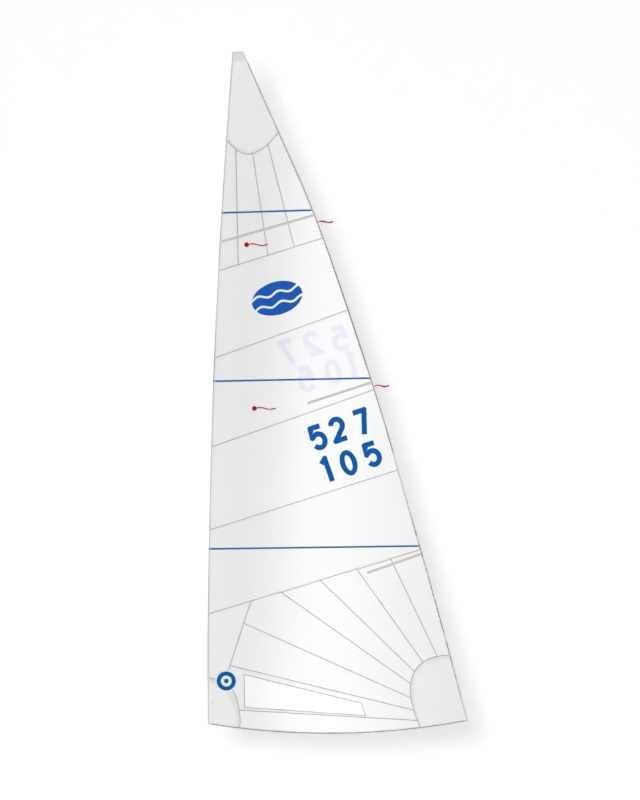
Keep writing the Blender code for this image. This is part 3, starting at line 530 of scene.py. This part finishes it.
# The white of each patch; the clew patch's darker tone is painted shade, for the shading that falls across
# it
tones = {"head_patch": 1.02, "clew_patch": 0.955, "tack_patch": 0.985}


def panelTone(index):
    # A slight difference of white from panel to panel
    return 1 + 0.006 * math.sin(2.4 * index)


layers = {}


def layerTree(node):
    # Where a node's faces lie on the floor, to be asked what is uppermost
    if node not in layers:
        bm = laidFlat(node)
        points = np.array([vert.co for vert in bm.verts])
        layers[node] = (BVHTree.FromBMesh(bm), points.min(axis=0), points.max(axis=0))
        bm.free()
    return layers[node][0]


def outermost(x, up, side):
    # The node on that side of the sail at a place of the plan, and its face's height on the floor
    found, height = None, -1e9
    for node, (tree, low, high) in layers.items():
        if low[0] <= x <= high[0] and low[1] <= up <= high[1]:
            hit = tree.ray_cast(Vector((x, up, side)), Vector((0, 0, -side)))[0]
            if hit and hit.z * side > height:
                found, height = node, hit.z * side
    return found, height * side


covers = [layerTree(node) for node in ("luff_tape", "leech_tape", "foot_tape", "headboard_port")]


def covered(place):
    # True where a tape or the headboard lies over the plan
    return any(tree.ray_cast(Vector((*place, 1)), Vector((0, 0, -1)))[0] for tree in covers)


def seamEdges(bm, hidden=covered):
    # The outline's sewn edges, each as two ends with the piece on the left
    edges = []
    for face in bm.faces:
        if face.normal.z < 0.9:
            continue
        for loop in face.loops:
            if any(other.normal.z > 0.9 for other in loop.edge.link_faces if other != face):
                continue
            start, end = loop.vert.co.xy, loop.link_loop_next.vert.co.xy
            if (end - start).length < laps["shortest"]:
                continue
            if not all(hidden(start + (end - start) * share) for share in (0.15, 0.5, 0.85)):
                edges.append((start.copy(), end.copy()))
    return joined(edges)


def joined(edges):
    # Edges that run on in a straight line become one
    edges = list(edges)
    merged = True
    while merged:
        merged = False
        for first in edges:
            for second in edges:
                if (first[1] - second[0]).length > 1e-4 or first is second:
                    continue
                if (first[1] - first[0]).angle(second[1] - second[0]) < math.radians(1):
                    edges.remove(first)
                    edges.remove(second)
                    edges.append((first[0], second[1]))
                    merged = True
                    break
            if merged:
                break
    return edges


def roundChords(bm, seams):
    # Swells a patch's chords to the curve that they stand for
    bulges = []
    for start, end in seams:
        along = end - start
        turns = [along.angle_signed(other[1] - other[0]) for other in seams
                 if (other[0] - end).length < 1e-4 or (other[1] - start).length < 1e-4]
        turn = sum(abs(turn) for turn in turns) / max(len(turns), 1)
        bulges.append((start, along.normalized(), along.length, along.length * turn / 8))
    for vert in bm.verts:
        for start, along, length, height in bulges:
            offset = vert.co.xy - start
            share = offset.dot(along) / length
            inside = along.cross(offset) / patchEdge["fade"]
            if -0.001 <= share <= 1.001 and -0.01 < inside < 1:
                push = height * 4 * share * (1 - share) * (1 - inside)**2
                vert.co.x += along.y * push
                vert.co.y -= along.x * push
                break


def markBands(bm, edges, width):
    # Gives the second finish to a band of this width along each edge
    for start, end in edges:
        along = (end - start).normalized()
        inward = Vector((-along.y, along.x, 0))
        reach = (end - start).length + width

        def near(co):
            offset = co.xy - start
            beside = -width < along.cross(offset) < 3 * width
            return beside and -width * 2 < offset.dot(along) < reach + width

        faces = [face for face in bm.faces if any(near(vert.co) for vert in face.verts)]
        parts = set(faces)
        for face in faces:
            parts.update(face.edges)
            parts.update(face.verts)
        cut(bm, Vector((*start, 0)) + inward * width, inward, list(parts))
    for face in bm.faces:
        centre = face.calc_center_median().xy
        for start, end in edges:
            along = (end - start).normalized()
            offset = centre - start
            inside = -width < offset.dot(along) < (end - start).length + width
            if inside and 0 <= along.cross(offset) < width:
                face.material_index = 1


def clothPanel(index, node):
    bm = laidFlat(node)
    seams = seamEdges(bm)
    cutGrid(bm)
    markBands(bm, seams, laps["width"])
    if node.endswith("patch"):
        roundChords(bm, seams)
    setSail(f"{node}_cloth", bm, ("sailcloth", "lap"), replaces=(node,),
            tone=tones.get(node, panelTone(index)))
    return seams


seamLines = {}
for index, node in enumerate(panelNodes):
    seamLines[node] = clothPanel(index, node)
    layerTree(node)
print("cloth panels set")

# Window, tapes, rope and line, stripes and dots: fine copies of their nodes
fineCopies = (
    ("window_film", "film", "window_film", "stretched"),
    ("bolt_rope", "rope", "rope_white", None), ("leech_line", "line", "line_grey", None),
    *[(f"draft_stripe_{name}_{side}", "stripeBlue", "draft_blue", "stretched")
      for name in ("top", "middle", "lower") for side in ("port", "starboard")],
    *[(f"telltale_dot_{name}_{side}", "dotRed", "telltale_red", "stretched")
      for name in ("upper", "lower") for side in ("port", "starboard")],
)
for node, skin, slot, held in fineCopies:
    bm = laidFlat(node)
    cutGrid(bm)
    setSail(f"{node}_fine", bm, (skin,), replaces=(node,), held=held)
print("trim set")


# Edge tapes: dark along the edge of the sail, pale where they are sewn, and crossed by the stripes

tapes = {"luff_tape": 0.0075, "leech_tape": 0.0045, "foot_tape": 0.0045}


def tapeEdges(bm):
    # The inner edges of a folded tape: those with cloth beyond them
    inner = []
    for start, end in seamEdges(bm, hidden=lambda place: False):
        along = (end - start).normalized()
        beyond = (start + end) / 2 + Vector((along.y, -along.x)) * 0.006
        if outermost(beyond.x, beyond.y, 1)[0] is not None:
            inner.append((start, end))
    return inner


def stripeSpan(name, aft):
    # Heights of a stripe's end at the luff or at the leech
    bm = laidFlat(f"draft_stripe_{name}_port")
    pick = max if aft else min
    endX = pick(vert.co.x for vert in bm.verts)
    heights = [vert.co.y for vert in bm.verts if abs(vert.co.x - endX) < 0.008]
    bm.free()
    return min(heights), max(heights)


def edgeTape(node, pale):
    bm = laidFlat(node)
    inner = tapeEdges(bm)
    seamLines[node] = inner
    cutGrid(bm)
    markBands(bm, inner, pale)
    spans = [] if node == "foot_tape" else [
        stripeSpan(name, node == "leech_tape") for name in ("top", "middle", "lower")]
    for span in spans:
        for height in span:
            cut(bm, (0, height, 0), (0, 1, 0))
        for face in bm.faces:
            if span[0] < face.calc_center_median().y < span[1]:
                face.material_index = 2
    setSail(f"{node}_fine", bm, ("tape", "sailcloth", "stripeBlue"), replaces=(node,),
            held="folded")


for node, pale in tapes.items():
    edgeTape(node, pale)
print("edge tapes set")

# Telltale ribbons: free to flutter a little, away from the cloth

flutter = {"lift": 0.0016, "wave": 0.085, "step": 0.01, "wider": 1.6, "leechWider": 2.1,
           "root": (0.014, 0.035)}
ribbonBodies = {
    **{f"telltale_{level}_{sideName}": (f"{level}_{sideName}_ribbon", side)
       for level in ("upper", "lower") for sideName, side in (("port", 1), ("starboard", -1))},
    **{f"telltale_leech_{level}": (f"{level}_leech_ribbon", 1) for level in ("upper", "lower")},
}


def widen(bm, times, low):
    # Past its root a ribbon is wider than it was cut, as loose cloth is
    near, far = flutter["root"]
    cuts = {}
    for vert in bm.verts:
        cuts.setdefault(round(vert.co.x, 3), []).append(vert)
    for place, verts in cuts.items():
        middle = (min(vert.co.y for vert in verts) + max(vert.co.y for vert in verts)) / 2
        share = min(max((place - low - near) / (far - near), 0), 1)
        if len(verts) > 2:
            for vert in verts:
                vert.co.y = middle + (vert.co.y - middle) * (1 + (times - 1) * share)


def ribbon(node, body, side):
    bm = laidFlat(node)
    cutGrid(bm, aft=flutter["step"])
    low = min(vert.co.x for vert in bm.verts)
    high = max(vert.co.x for vert in bm.verts)
    widen(bm, flutter["leechWider" if "leech" in node else "wider"], low)
    for vert in bm.verts:
        away = vert.co.x - low
        wave = 1 - math.cos(2 * math.pi * away / flutter["wave"])
        vert.co.z += side * flutter["lift"] * wave / 2 * away / (high - low)
    # A starboard ribbon's faces towards port take a painted glow, standing in for light through the cloth
    if node.endswith("starboard"):
        for face in bm.faces:
            if face.normal.z > 0.5:
                face.material_index = 1
    setSail(f"{node}_ribbon", bm, ("ribbonRed", "clothSideGlow"), body=body, replaces=(node,),
            held="hung", still=True)


for node, (body, side) in ribbonBodies.items():
    ribbon(node, body, side)
print("telltale ribbons set")


# Batten pockets: soft tunnels sewn down by a flange on each side, closed at the inner end

pocket = {
    # Half a section in metres, across and up from the cloth: the outside, and the inside under it
    "outer": ((0.0140, 0.0), (0.0140, 0.0004), (0.0124, 0.0005), (0.0116, 0.00155), (0.0110, 0.0042),
              (0.0098, 0.0051), (0.0050, 0.0054), (0.0, 0.00545)),
    "inner": ((0.0127, 0.0), (0.0125, 0.00005), (0.0121, 0.00012), (0.0111, 0.0013), (0.0104, 0.0039),
              (0.0094, 0.0047), (0.0050, 0.00485), (0.0, 0.00488)),
    # Along the pocket from its inner end: place, share of the height, share of the width
    "ends": ((0.0, 0.12, 0.86), (0.0010, 0.42, 0.93), (0.0020, 0.78, 0.97), (0.0032, 1.0, 1.0)),
    "step": 0.02, "hem": 0.012, "hemRise": 0.00025, "hemFold": 0.0006,
}


def pocketPlace(name):
    # A pocket's own directions on the floor, its ends, its middle line and the cloth's height under it
    bm = laidFlat(f"batten_pocket_{name}")
    slope = battenSlopes[name]
    along = Vector((math.cos(slope), math.sin(slope)))
    across = Vector((-along.y, along.x))
    runs = [vert.co.xy.dot(along) for vert in bm.verts]
    sides = [vert.co.xy.dot(across) for vert in bm.verts]
    floor = min(vert.co.z for vert in bm.verts)
    bm.free()
    return along, across, min(runs), max(runs), (min(sides) + max(sides)) / 2, floor


def battenPocket(name):
    node = f"batten_pocket_{name}"
    along, across, start, end, middle, floor = pocketPlace(name)
    length = end - start
    first, last = pocket["ends"][-1][0], length - pocket["hem"]
    count = math.ceil((last - first) / pocket["step"])
    hemRise, hemFold = pocket["hemRise"], pocket["hemFold"]
    stations = [(place, high, wide, 0.0) for place, high, wide in pocket["ends"]]
    stations += [(first + (last - first) * i / count, 1, 1, 0.0) for i in range(1, count + 1)]
    stations += [(last + hemFold, 1, 1, hemRise), (length - hemFold, 1, 1, hemRise),
                 (length, 1, 1, hemRise * 0.4)]
    sections = [[(side * wide, high) for side, (wide, high) in [(-1, pair) for pair in half[:-1]]
                 + [(0, half[-1])] + [(1, pair) for pair in reversed(half[:-1])]]
                for half in (pocket["outer"], pocket["inner"])]
    bm = bmesh.new()
    rows = []
    for place, high, wide, extra in stations:
        row = []
        for section in sections:
            for offset, lift in section:
                at = along * (start + place) + across * (middle + offset * wide)
                grown = extra if section is sections[0] and lift > 0.001 else 0
                row.append(bm.verts.new((at.x, at.y, floor + lift * high + grown)))
        rows.append(row)
    width = len(sections[0])
    for near, far in zip(rows, rows[1:]):
        for i in range(width - 1):
            bm.faces.new((near[i], near[i + 1], far[i + 1], far[i]))
            bm.faces.new((near[width + i + 1], near[width + i], far[width + i], far[width + i + 1]))
        for i in (0, width - 1):
            bm.faces.new((near[i], far[i], far[width + i], near[width + i]))
    for row in (rows[0], rows[-1]):
        for i in range(width - 1):
            bm.faces.new((row[i], row[width + i], row[width + i + 1], row[i + 1]))
    bmesh.ops.recalc_face_normals(bm, faces=bm.faces)
    cutGrid(bm)
    setSail(f"{node}_sewn", bm, ("pocket",), replaces=(node,), held="stretched",
            still=True)


for name in battenSlopes:
    battenPocket(name)
    layerTree(f"batten_pocket_{name}")
print("batten pockets sewn on")


# Battens keep their frame shape, with softened edges and long glass fibres

battenEdge = {"radius": 0.0004, "segments": 2}
for name in battenSlopes:
    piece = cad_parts[f"batten_{name}"]
    bevel = piece.modifiers.new("soft_edges", "BEVEL")
    bevel.width = battenEdge["radius"]
    bevel.segments = battenEdge["segments"]
    bevel.limit_method = "ANGLE"
    piece.data.materials.clear()
    piece.data.materials.append(finishes[f"glass_{name}"])


# Headboard plates, with a grey painted rim that goes on from the tapes

headboard = {"rim": 0.007, "grid": 0.02}


def hullEdges(bm):
    # The outline of a piece, round its outermost points, with the piece on the left
    points = sorted({(round(vert.co.x, 6), round(vert.co.y, 6)) for vert in bm.verts})

    def half(points):
        chain = []
        for point in points:
            while len(chain) > 1 and (Vector(chain[-1]) - Vector(chain[-2])).cross(
                    Vector(point) - Vector(chain[-1])) <= 0:
                chain.pop()
            chain.append(point)
        return chain[:-1]

    ring = half(points) + half(points[::-1])
    return [(Vector(a), Vector(b)) for a, b in zip(ring, ring[1:] + ring[:1])]


def headboardPlate(node):
    bm = laidFlat(node)
    edges = [(a, b) for a, b in hullEdges(bm) if (b - a).length > 0.002 and (b.y - a.y) - (b.x - a.x) > 0]
    cutGrid(bm, aft=headboard["grid"], up=headboard["grid"])
    markBands(bm, edges, headboard["rim"])
    setSail(f"{node}_plate", bm, ("board", "boardRim"), replaces=(node,), held=None,
            still=True)


for side in ("port", "starboard"):
    headboardPlate(f"headboard_{side}")
print("headboard plates set")


# Eyes, rivets and the halyard bush: turned rings with rounded flanges

turning = {"steps": 48, "quickSteps": 24}
rings = {
    "tack_eye": "steel", "cunningham_eye": "steel", "clew_eye": "steel", "halyard_bush": "steel",
    **{f"headboard_rivet_{i}": "aluminium" for i in range(1, 5)},
}


def ringProfile(bore, barrel, rim, low, high, flange):
    # Once round a ring's section, from the lip of the bore on the port side
    lip = min(0.0011, (barrel - bore) * 0.7)
    soft = min(flange * 0.5, (rim - barrel) * 0.4)
    upper = [
        (bore, high - flange), (bore + lip * 0.12, high - flange * 0.45),
        (bore + lip * 0.5, high - flange * 0.12), (bore + lip, high),
        (rim - 2 * soft, high), (rim - soft, high - flange * 0.08),
        (rim - soft * 0.3, high - flange * 0.3), (rim, high - flange * 0.62), (rim, high - flange * 0.9),
        (rim - soft * 0.25, high - flange), (barrel, high - flange),
    ]
    return upper + [(radius, low + high - place) for radius, place in reversed(upper)]


def turnedRing(node, skin):
    bm = laidFlat(node)
    spans = [(min(values), max(values)) for values in zip(*(vert.co for vert in bm.verts))]
    middle = Vector([(least + most) / 2 for least, most in spans[:2]])
    low, high = spans[2]
    radii = sorted({round((vert.co.xy - middle).length, 5) for vert in bm.verts})
    bore, rim = radii[0], radii[-1]
    barrel = min(radii, key=lambda radius: abs(radius - bore - 0.0015))
    shoulder = max(vert.co.z for vert in bm.verts if abs((vert.co.xy - middle).length - barrel) < 1e-4)
    bm.free()
    profile = ringProfile(bore, barrel, rim, low, high, high - shoulder)
    steps = turning["steps"]
    bm = bmesh.new()
    turns = []
    for k in range(steps):
        out = Vector((math.cos(2 * math.pi * k / steps), math.sin(2 * math.pi * k / steps)))
        turns.append([bm.verts.new((*(middle + out * radius), z)) for radius, z in profile])
    for k in range(steps):
        near, far = turns[k], turns[(k + 1) % steps]
        for i in range(len(profile)):
            j = (i + 1) % len(profile)
            bm.faces.new((near[i], far[i], far[j], near[j]))
    bmesh.ops.recalc_face_normals(bm, faces=bm.faces)
    setSail(f"{node}_turned", bm, (skin,), replaces=(node,),
            held=None, still=True)


for node, skin in rings.items():
    turnedRing(node, skin)
print("rings turned")


# Signs: film stickers with plain marks

sign = {"thick": 0.00012, "off": 0.00008, "stroke": 0.060}


def thickened(bm, low, high, backSkin=None):
    # Gives flat faces on the floor a thickness
    bmesh.ops.recalc_face_normals(bm, faces=bm.faces)
    if bm.faces[0].normal.z < 0:
        bmesh.ops.reverse_faces(bm, faces=bm.faces)
    bmesh.ops.translate(bm, verts=bm.verts, vec=(0, 0, low))
    grown = bmesh.ops.extrude_face_region(bm, geom=bm.faces[:], use_keep_orig=True)["geom"]
    upper = [item for item in grown if isinstance(item, bmesh.types.BMVert)]
    bmesh.ops.translate(bm, verts=upper, vec=(0, 0, high - low))
    bmesh.ops.recalc_face_normals(bm, faces=bm.faces)
    if backSkin is not None:
        for face in bm.faces:
            if face.normal.z > 0.5:
                face.material_index = backSkin


def outline(path, width):
    # The outline of a stroke of even width with butt ends; a sharp corner is cut a little on its outside
    path = [Vector(point) for point in path]
    ways = [(b - a).normalized() for a, b in zip(path, path[1:])]
    sides = {1: [], -1: []}
    half = width / 2
    for i, point in enumerate(path):
        before, after = ways[max(i - 1, 0)], ways[min(i, len(ways) - 1)]
        turn = before.angle_signed(after) if i not in (0, len(path) - 1) else 0.0
        middle = (Vector((-before.y, before.x)) + Vector((-after.y, after.x))).normalized()
        for side in (1, -1):
            outside = turn * side > 0
            if outside and abs(turn) > math.radians(50):
                slip = half * math.tan(abs(turn) / 4)
                sides[side].append(point + Vector((-before.y, before.x)) * half * side + before * slip)
                sides[side].append(point + Vector((-after.y, after.x)) * half * side - after * slip)
            else:
                sides[side].append(point + middle * side * half / math.cos(turn / 2))
    return sides[1] + sides[-1][::-1]


def bow(centre, radii, start, stop, steps=14):
    # Points on an ellipse, from one angle in degrees to another
    angles = [math.radians(start + (stop - start) * i / steps) for i in range(steps + 1)]
    return [(centre[0] + radii[0] * math.cos(a), centre[1] + radii[1] * math.sin(a)) for a in angles]


# The middle lines of the figures, about each one's centre, in metres; nought is a ring
figures = {
    "0": None,
    "1": [(-0.050, 0.072), (0.006, 0.124), (0.006, -0.150)],
    "2": [*bow((0, 0.048), (0.066, 0.072), 168, -35), (-0.064, -0.120), (0.070, -0.120)],
    "5": [(0.060, 0.120), (-0.054, 0.120), (-0.062, 0.010), *bow((0, -0.040), (0.068, 0.080), 122, -150)],
    "7": [(-0.068, 0.120), (0.066, 0.120), (-0.020, -0.150)],
}
rowsOfFigures = {
    # Figure and its place in the photograph
    "port": {"slope": math.radians(19.0), "places": (
        ("5", 317.9, 437.4), ("2", 337.9, 429.5), ("7", 361.8, 421.4),
        ("1", 327.7, 468.9), ("0", 348.6, 462.8), ("5", 372.2, 454.2))},
    "starboard": {"slope": math.radians(17.0), "places": (
        ("7", 288.6, 351.6), ("2", 312.4, 343.4), ("5", 339.8, 338.7),
        ("5", 306.1, 379.1), ("0", 333.1, 371.8), ("1", 352.4, 363.7))},
}


def putAt(bm, x, up, slope, side=1):
    # Turns a flat piece and lays it at its place. On the starboard side it reads from aft
    cosine, sine = math.cos(slope), math.sin(slope)
    for vert in bm.verts:
        across, high = vert.co.x * side, vert.co.y
        vert.co = (x + across * cosine - high * sine, up + across * sine + high * cosine, 0)


def strip(lower, upper):
    # Faces between two rows of points
    bm = bmesh.new()
    below = [bm.verts.new((*point, 0)) for point in lower]
    above = [bm.verts.new((*point, 0)) for point in upper]
    for i in range(len(below) - 1):
        bm.faces.new((below[i], below[i + 1], above[i + 1], above[i]))
    return bm


def annulus(centre, inner, outer, steps=64):
    bm = strip(bow(centre, outer, 0, 360, steps), bow(centre, inner, 0, 360, steps))
    bmesh.ops.remove_doubles(bm, verts=bm.verts, dist=1e-5)
    bmesh.ops.delete(bm, geom=[face for face in bm.faces if face.calc_area() < 1e-9], context="FACES")
    return bm


def figureMesh(figure):
    half = sign["stroke"] / 2
    if figure == "0":
        return annulus((0, 0), (0.066 - half, 0.120 - half), (0.066 + half, 0.120 + half))
    bm = bmesh.new()
    bm.faces.new([bm.verts.new((*point, 0)) for point in outline(figures[figure], sign["stroke"])])
    bmesh.ops.triangulate(bm, faces=bm.faces)
    return bm


def seat(bm, side):
    # The outermost face height under a flat piece
    heights = [outermost(vert.co.x, vert.co.y, side)[1] for vert in list(bm.verts)[::3]]
    return max(heights) if side > 0 else min(heights)


def stickOn(name, bm, skin, side, raised=0.0):
    base = seat(bm, side) + side * (sign["off"] + raised)
    # A starboard sticker's face against the cloth takes the painted glow
    thickened(bm, *sorted((base, base + side * sign["thick"])), backSkin=1 if side < 0 else None)
    cutGrid(bm)
    setSail(name, bm, (skin, "stuckSideGlow") if side < 0 else (skin,), held=None)


for sideName, side in (("port", 1), ("starboard", -1)):
    facts = rowsOfFigures[sideName]
    for index, (figure, px, py) in enumerate(facts["places"]):
        bm = figureMesh(figure)
        putAt(bm, *fromPhoto(px, py), facts["slope"], side)
        stickOn(f"figure_{index + 1}_{sideName}", bm, "blue", side)

# The emblem's place: an ellipse of blue water, parted by two waves
emblem = {"centre": (0.790, 4.837), "radii": (0.295, 0.187), "slope": math.radians(17.0), "steps": 60,
          "waves": (0.058, -0.064), "height": 0.020, "every": 0.24, "phase": 0.6, "part": 0.026}


def emblemBand(upperWave, lowerWave):
    # What of the ellipse lies between two waves, given by their middle heights
    lower, upper = [], []
    a, b = emblem["radii"]
    for i in range(emblem["steps"] + 1):
        x = a * math.sin(math.pi * (i / emblem["steps"] - 0.5))
        edge = b * math.sqrt(max(0.0, 1 - (x / a)**2))
        swing = emblem["height"] * math.sin(2 * math.pi * x / emblem["every"] + emblem["phase"])
        high = edge if upperWave is None else min(edge, upperWave + swing - emblem["part"] / 2)
        low = -edge if lowerWave is None else max(-edge, lowerWave + swing + emblem["part"] / 2)
        if high - low > 0.0015:
            lower.append((x, low))
            upper.append((x, high))
    return strip(lower, upper)


for sideName, side in (("port", 1), ("starboard", -1)):
    bounds = (None, *emblem["waves"], None)
    for index in range(3):
        bm = emblemBand(bounds[index], bounds[index + 1])
        putAt(bm, *emblem["centre"], emblem["slope"])
        stickOn(f"emblem_band_{index + 1}_{sideName}", bm, "emblemBlue", side)

# The round sticker by the tack: rings of blue and white
disc = {"centre": (0.2124, 0.4885), "rings": (
    ("white", 0.0008, 0.127, 0.0), ("blue", 0.062, 0.109, 0.0002), ("blue", 0.0008, 0.026, 0.0002))}
seated = None
for index, (skin, inner, outer, raised) in enumerate(disc["rings"]):
    bm = annulus(disc["centre"], (inner, inner), (outer, outer))
    if seated is None:
        seated = seat(bm, 1)
    base = seated + sign["off"] + raised
    thickened(bm, base, base + sign["thick"])
    cutGrid(bm)
    setSail(f"disc_ring_{index + 1}", bm, (skin,),
            held=None)
print("signs stuck on")


# Stitching: zigzag rows of real thread on the outermost piece of each seam, on both sides of the sail

stitch = {"pitch": 0.005, "throw": 0.0013, "half": 0.0003, "rise": 0.00035, "sunk": 0.00005,
          "insets": (0.0028, 0.0076), "check": 4,
          "pocketInset": 0.0132, "pocketEnds": 0.004, "pocketLift": 0.0004, "pocketThrow": 0.0002}


def stitchRuns(node, start, end, inset, side):
    # Stretches of a row where the node is the outermost piece
    along = (end - start).normalized()
    inward = Vector((-along.y, along.x))
    count = int((end - start).length / stitch["pitch"])
    runs, run = [], []
    for first in range(0, count, stitch["check"]):
        group = [start + along * (i + 0.5) * stitch["pitch"] + inward * inset
                 for i in range(first, min(first + stitch["check"], count))]
        middle = group[len(group) // 2]
        found, height = outermost(middle.x, middle.y, side)
        if found == node:
            run += [(place, height, inward) for place in group]
        else:
            runs.append(run)
            run = []
    return [run for run in runs + [run] if len(run) > 3]


def sew(name, runs, side, throw):
    # One tube of thread for each run, three-sided, swinging from side to side of its row
    points, faces = [], []
    for run in runs:
        first = len(points)
        for i, (place, height, inward) in enumerate(run):
            swing = place + inward * throw * (1 if i % 2 else -1)
            for offset, lift in ((-1, -stitch["sunk"]), (1, -stitch["sunk"]), (0, stitch["rise"])):
                at = swing + inward * offset * stitch["half"]
                points.append((at.x, at.y, height + side * lift))
        for i in range(len(run) - 1):
            near = first + 3 * i
            for k in range(3):
                faces.append((near + k, near + (k + 1) % 3, near + 3 + (k + 1) % 3, near + 3 + k))
        faces += [(first, first + 1, first + 2), tuple(first + 3 * len(run) - k for k in (3, 1, 2))]
    mesh = bpy.data.meshes.new(name)
    mesh.from_pydata(points, [], faces)
    bm = bmesh.new()
    bm.from_mesh(mesh)
    bpy.data.meshes.remove(mesh)
    bmesh.ops.recalc_face_normals(bm, faces=bm.faces)
    setSail(name, bm, ("thread",), held=None)


for sideName, side in (("port", 1), ("starboard", -1)):
    runs = []
    for node, seams in seamLines.items():
        for start, end in seams:
            for inset in stitch["insets"]:
                runs += stitchRuns(node, start, end, inset, side)
    print(f"{len(runs)} rows of stitches to {sideName}")
    sew(f"seam_thread_{sideName}", runs, side, stitch["throw"])
runs = []
for name in battenSlopes:
    along, across, low, high, middle, floor = pocketPlace(name)
    count = int((high - low - 2 * stitch["pocketEnds"]) / stitch["pitch"])
    for inset in (-stitch["pocketInset"], stitch["pocketInset"]):
        row = across * (middle + inset)
        runs.append([(along * (low + stitch["pocketEnds"] + i * stitch["pitch"]) + row,
                      floor + stitch["pocketLift"], across) for i in range(count)])
sew("pocket_thread", runs, 1, stitch["pocketThrow"])
print("stitching done")


# Stage: a pale floor, and a wall that is seen from the front alone

studio = {"wallY": 1.5, "floor": -1.0, "half": 20.0, "paint": 0.9, "wallGlow": 0.515, "floorGlow": 0.75,
          "ambient": 0.15}
# Each lamp's strength, the way to it and its width in degrees
lamps = {
    "front": (1.14, (0.0, -1, 0.0), 6), "key": (1.13, (-0.145, -1, 0.145), 15),
    "back": (1.3, (0.35, 1, 0.3), 20),
}


def staging(name, glow, oneSided):
    color = (studio["paint"],) * 3
    finish = Finish(name, color)
    finish.tree.nodes.remove(finish.shader)
    flat = finish.node("ShaderNodeBsdfDiffuse", inputs={"Color": (*color, 1)})
    shine = finish.node("ShaderNodeEmission", inputs={"Strength": finish.inSight() * glow})
    surface = finish.node("ShaderNodeAddShader", inputs={0: flat, 1: shine})
    if oneSided:
        clear = finish.node("ShaderNodeBsdfTransparent")
        facing = finish.node("ShaderNodeNewGeometry", output=6)
        surface = finish.node("ShaderNodeMixShader", inputs={0: facing, 1: surface, 2: clear})
    finish.feed(finish.tree.nodes["Material Output"].inputs["Surface"], surface)
    return finish.material


def stagePlane(name, corners, material):
    mesh = bpy.data.meshes.new(name)
    mesh.from_pydata(corners, [], [tuple(range(len(corners)))])
    mesh.materials.append(material)
    plane = bpy.data.objects.new(name, mesh)
    scene.collection.objects.link(plane)
    return plane


half, wallY, floor = studio["half"], studio["wallY"], studio["floor"]
wall = stagePlane(
    "wall", [(-half, wallY, floor), (half, wallY, floor), (half, wallY, half), (-half, wallY, half)],
    staging("wall_paint", studio["wallGlow"], True))
wall.visible_shadow = False
stagePlane(
    "floor", [(-half, -half, floor), (half, -half, floor), (half, half, floor), (-half, half, floor)],
    staging("floor_paint", studio["floorGlow"], False))


def sun(name):
    strength, toLight, softness = lamps[name]
    lamp = bpy.data.lights.new(name, "SUN")
    lamp.energy = strength
    lamp.angle = math.radians(softness)
    thing = bpy.data.objects.new(name, lamp)
    thing.rotation_mode = "QUATERNION"
    thing.rotation_quaternion = Vector(toLight).to_track_quat("Z", "Y")
    scene.collection.objects.link(thing)
    return thing


# The front lamp models the cloth and leaves the wall alone; the key lamp throws the sail's shadow there
frontLamp = sun("front")
sun("key").visible_glossy = False
# The back lamp shows the starboard side alone, and its light goes no further
sun("back").data.cycles.max_bounces = 0
spared = bpy.data.collections.new("wall_not_lit")
spared.objects.link(wall)
frontLamp.light_linking.receiver_collection = spared
spared.collection_objects[0].light_linking.link_state = "EXCLUDE"

# The world is white where it is seen or mirrored, and dim as a lamp
world = bpy.data.worlds.new("studio")
scene.world = world
world.use_nodes = True
sky = Nodes(world.node_tree)
background = sky.tree.nodes["Background"]
sky.feed(background.inputs["Strength"], studio["ambient"] + (1 - studio["ambient"]) * sky.inSight())
background.inputs["Color"].default_value = (1, 1, 1, 1)
print("stage and lights set")
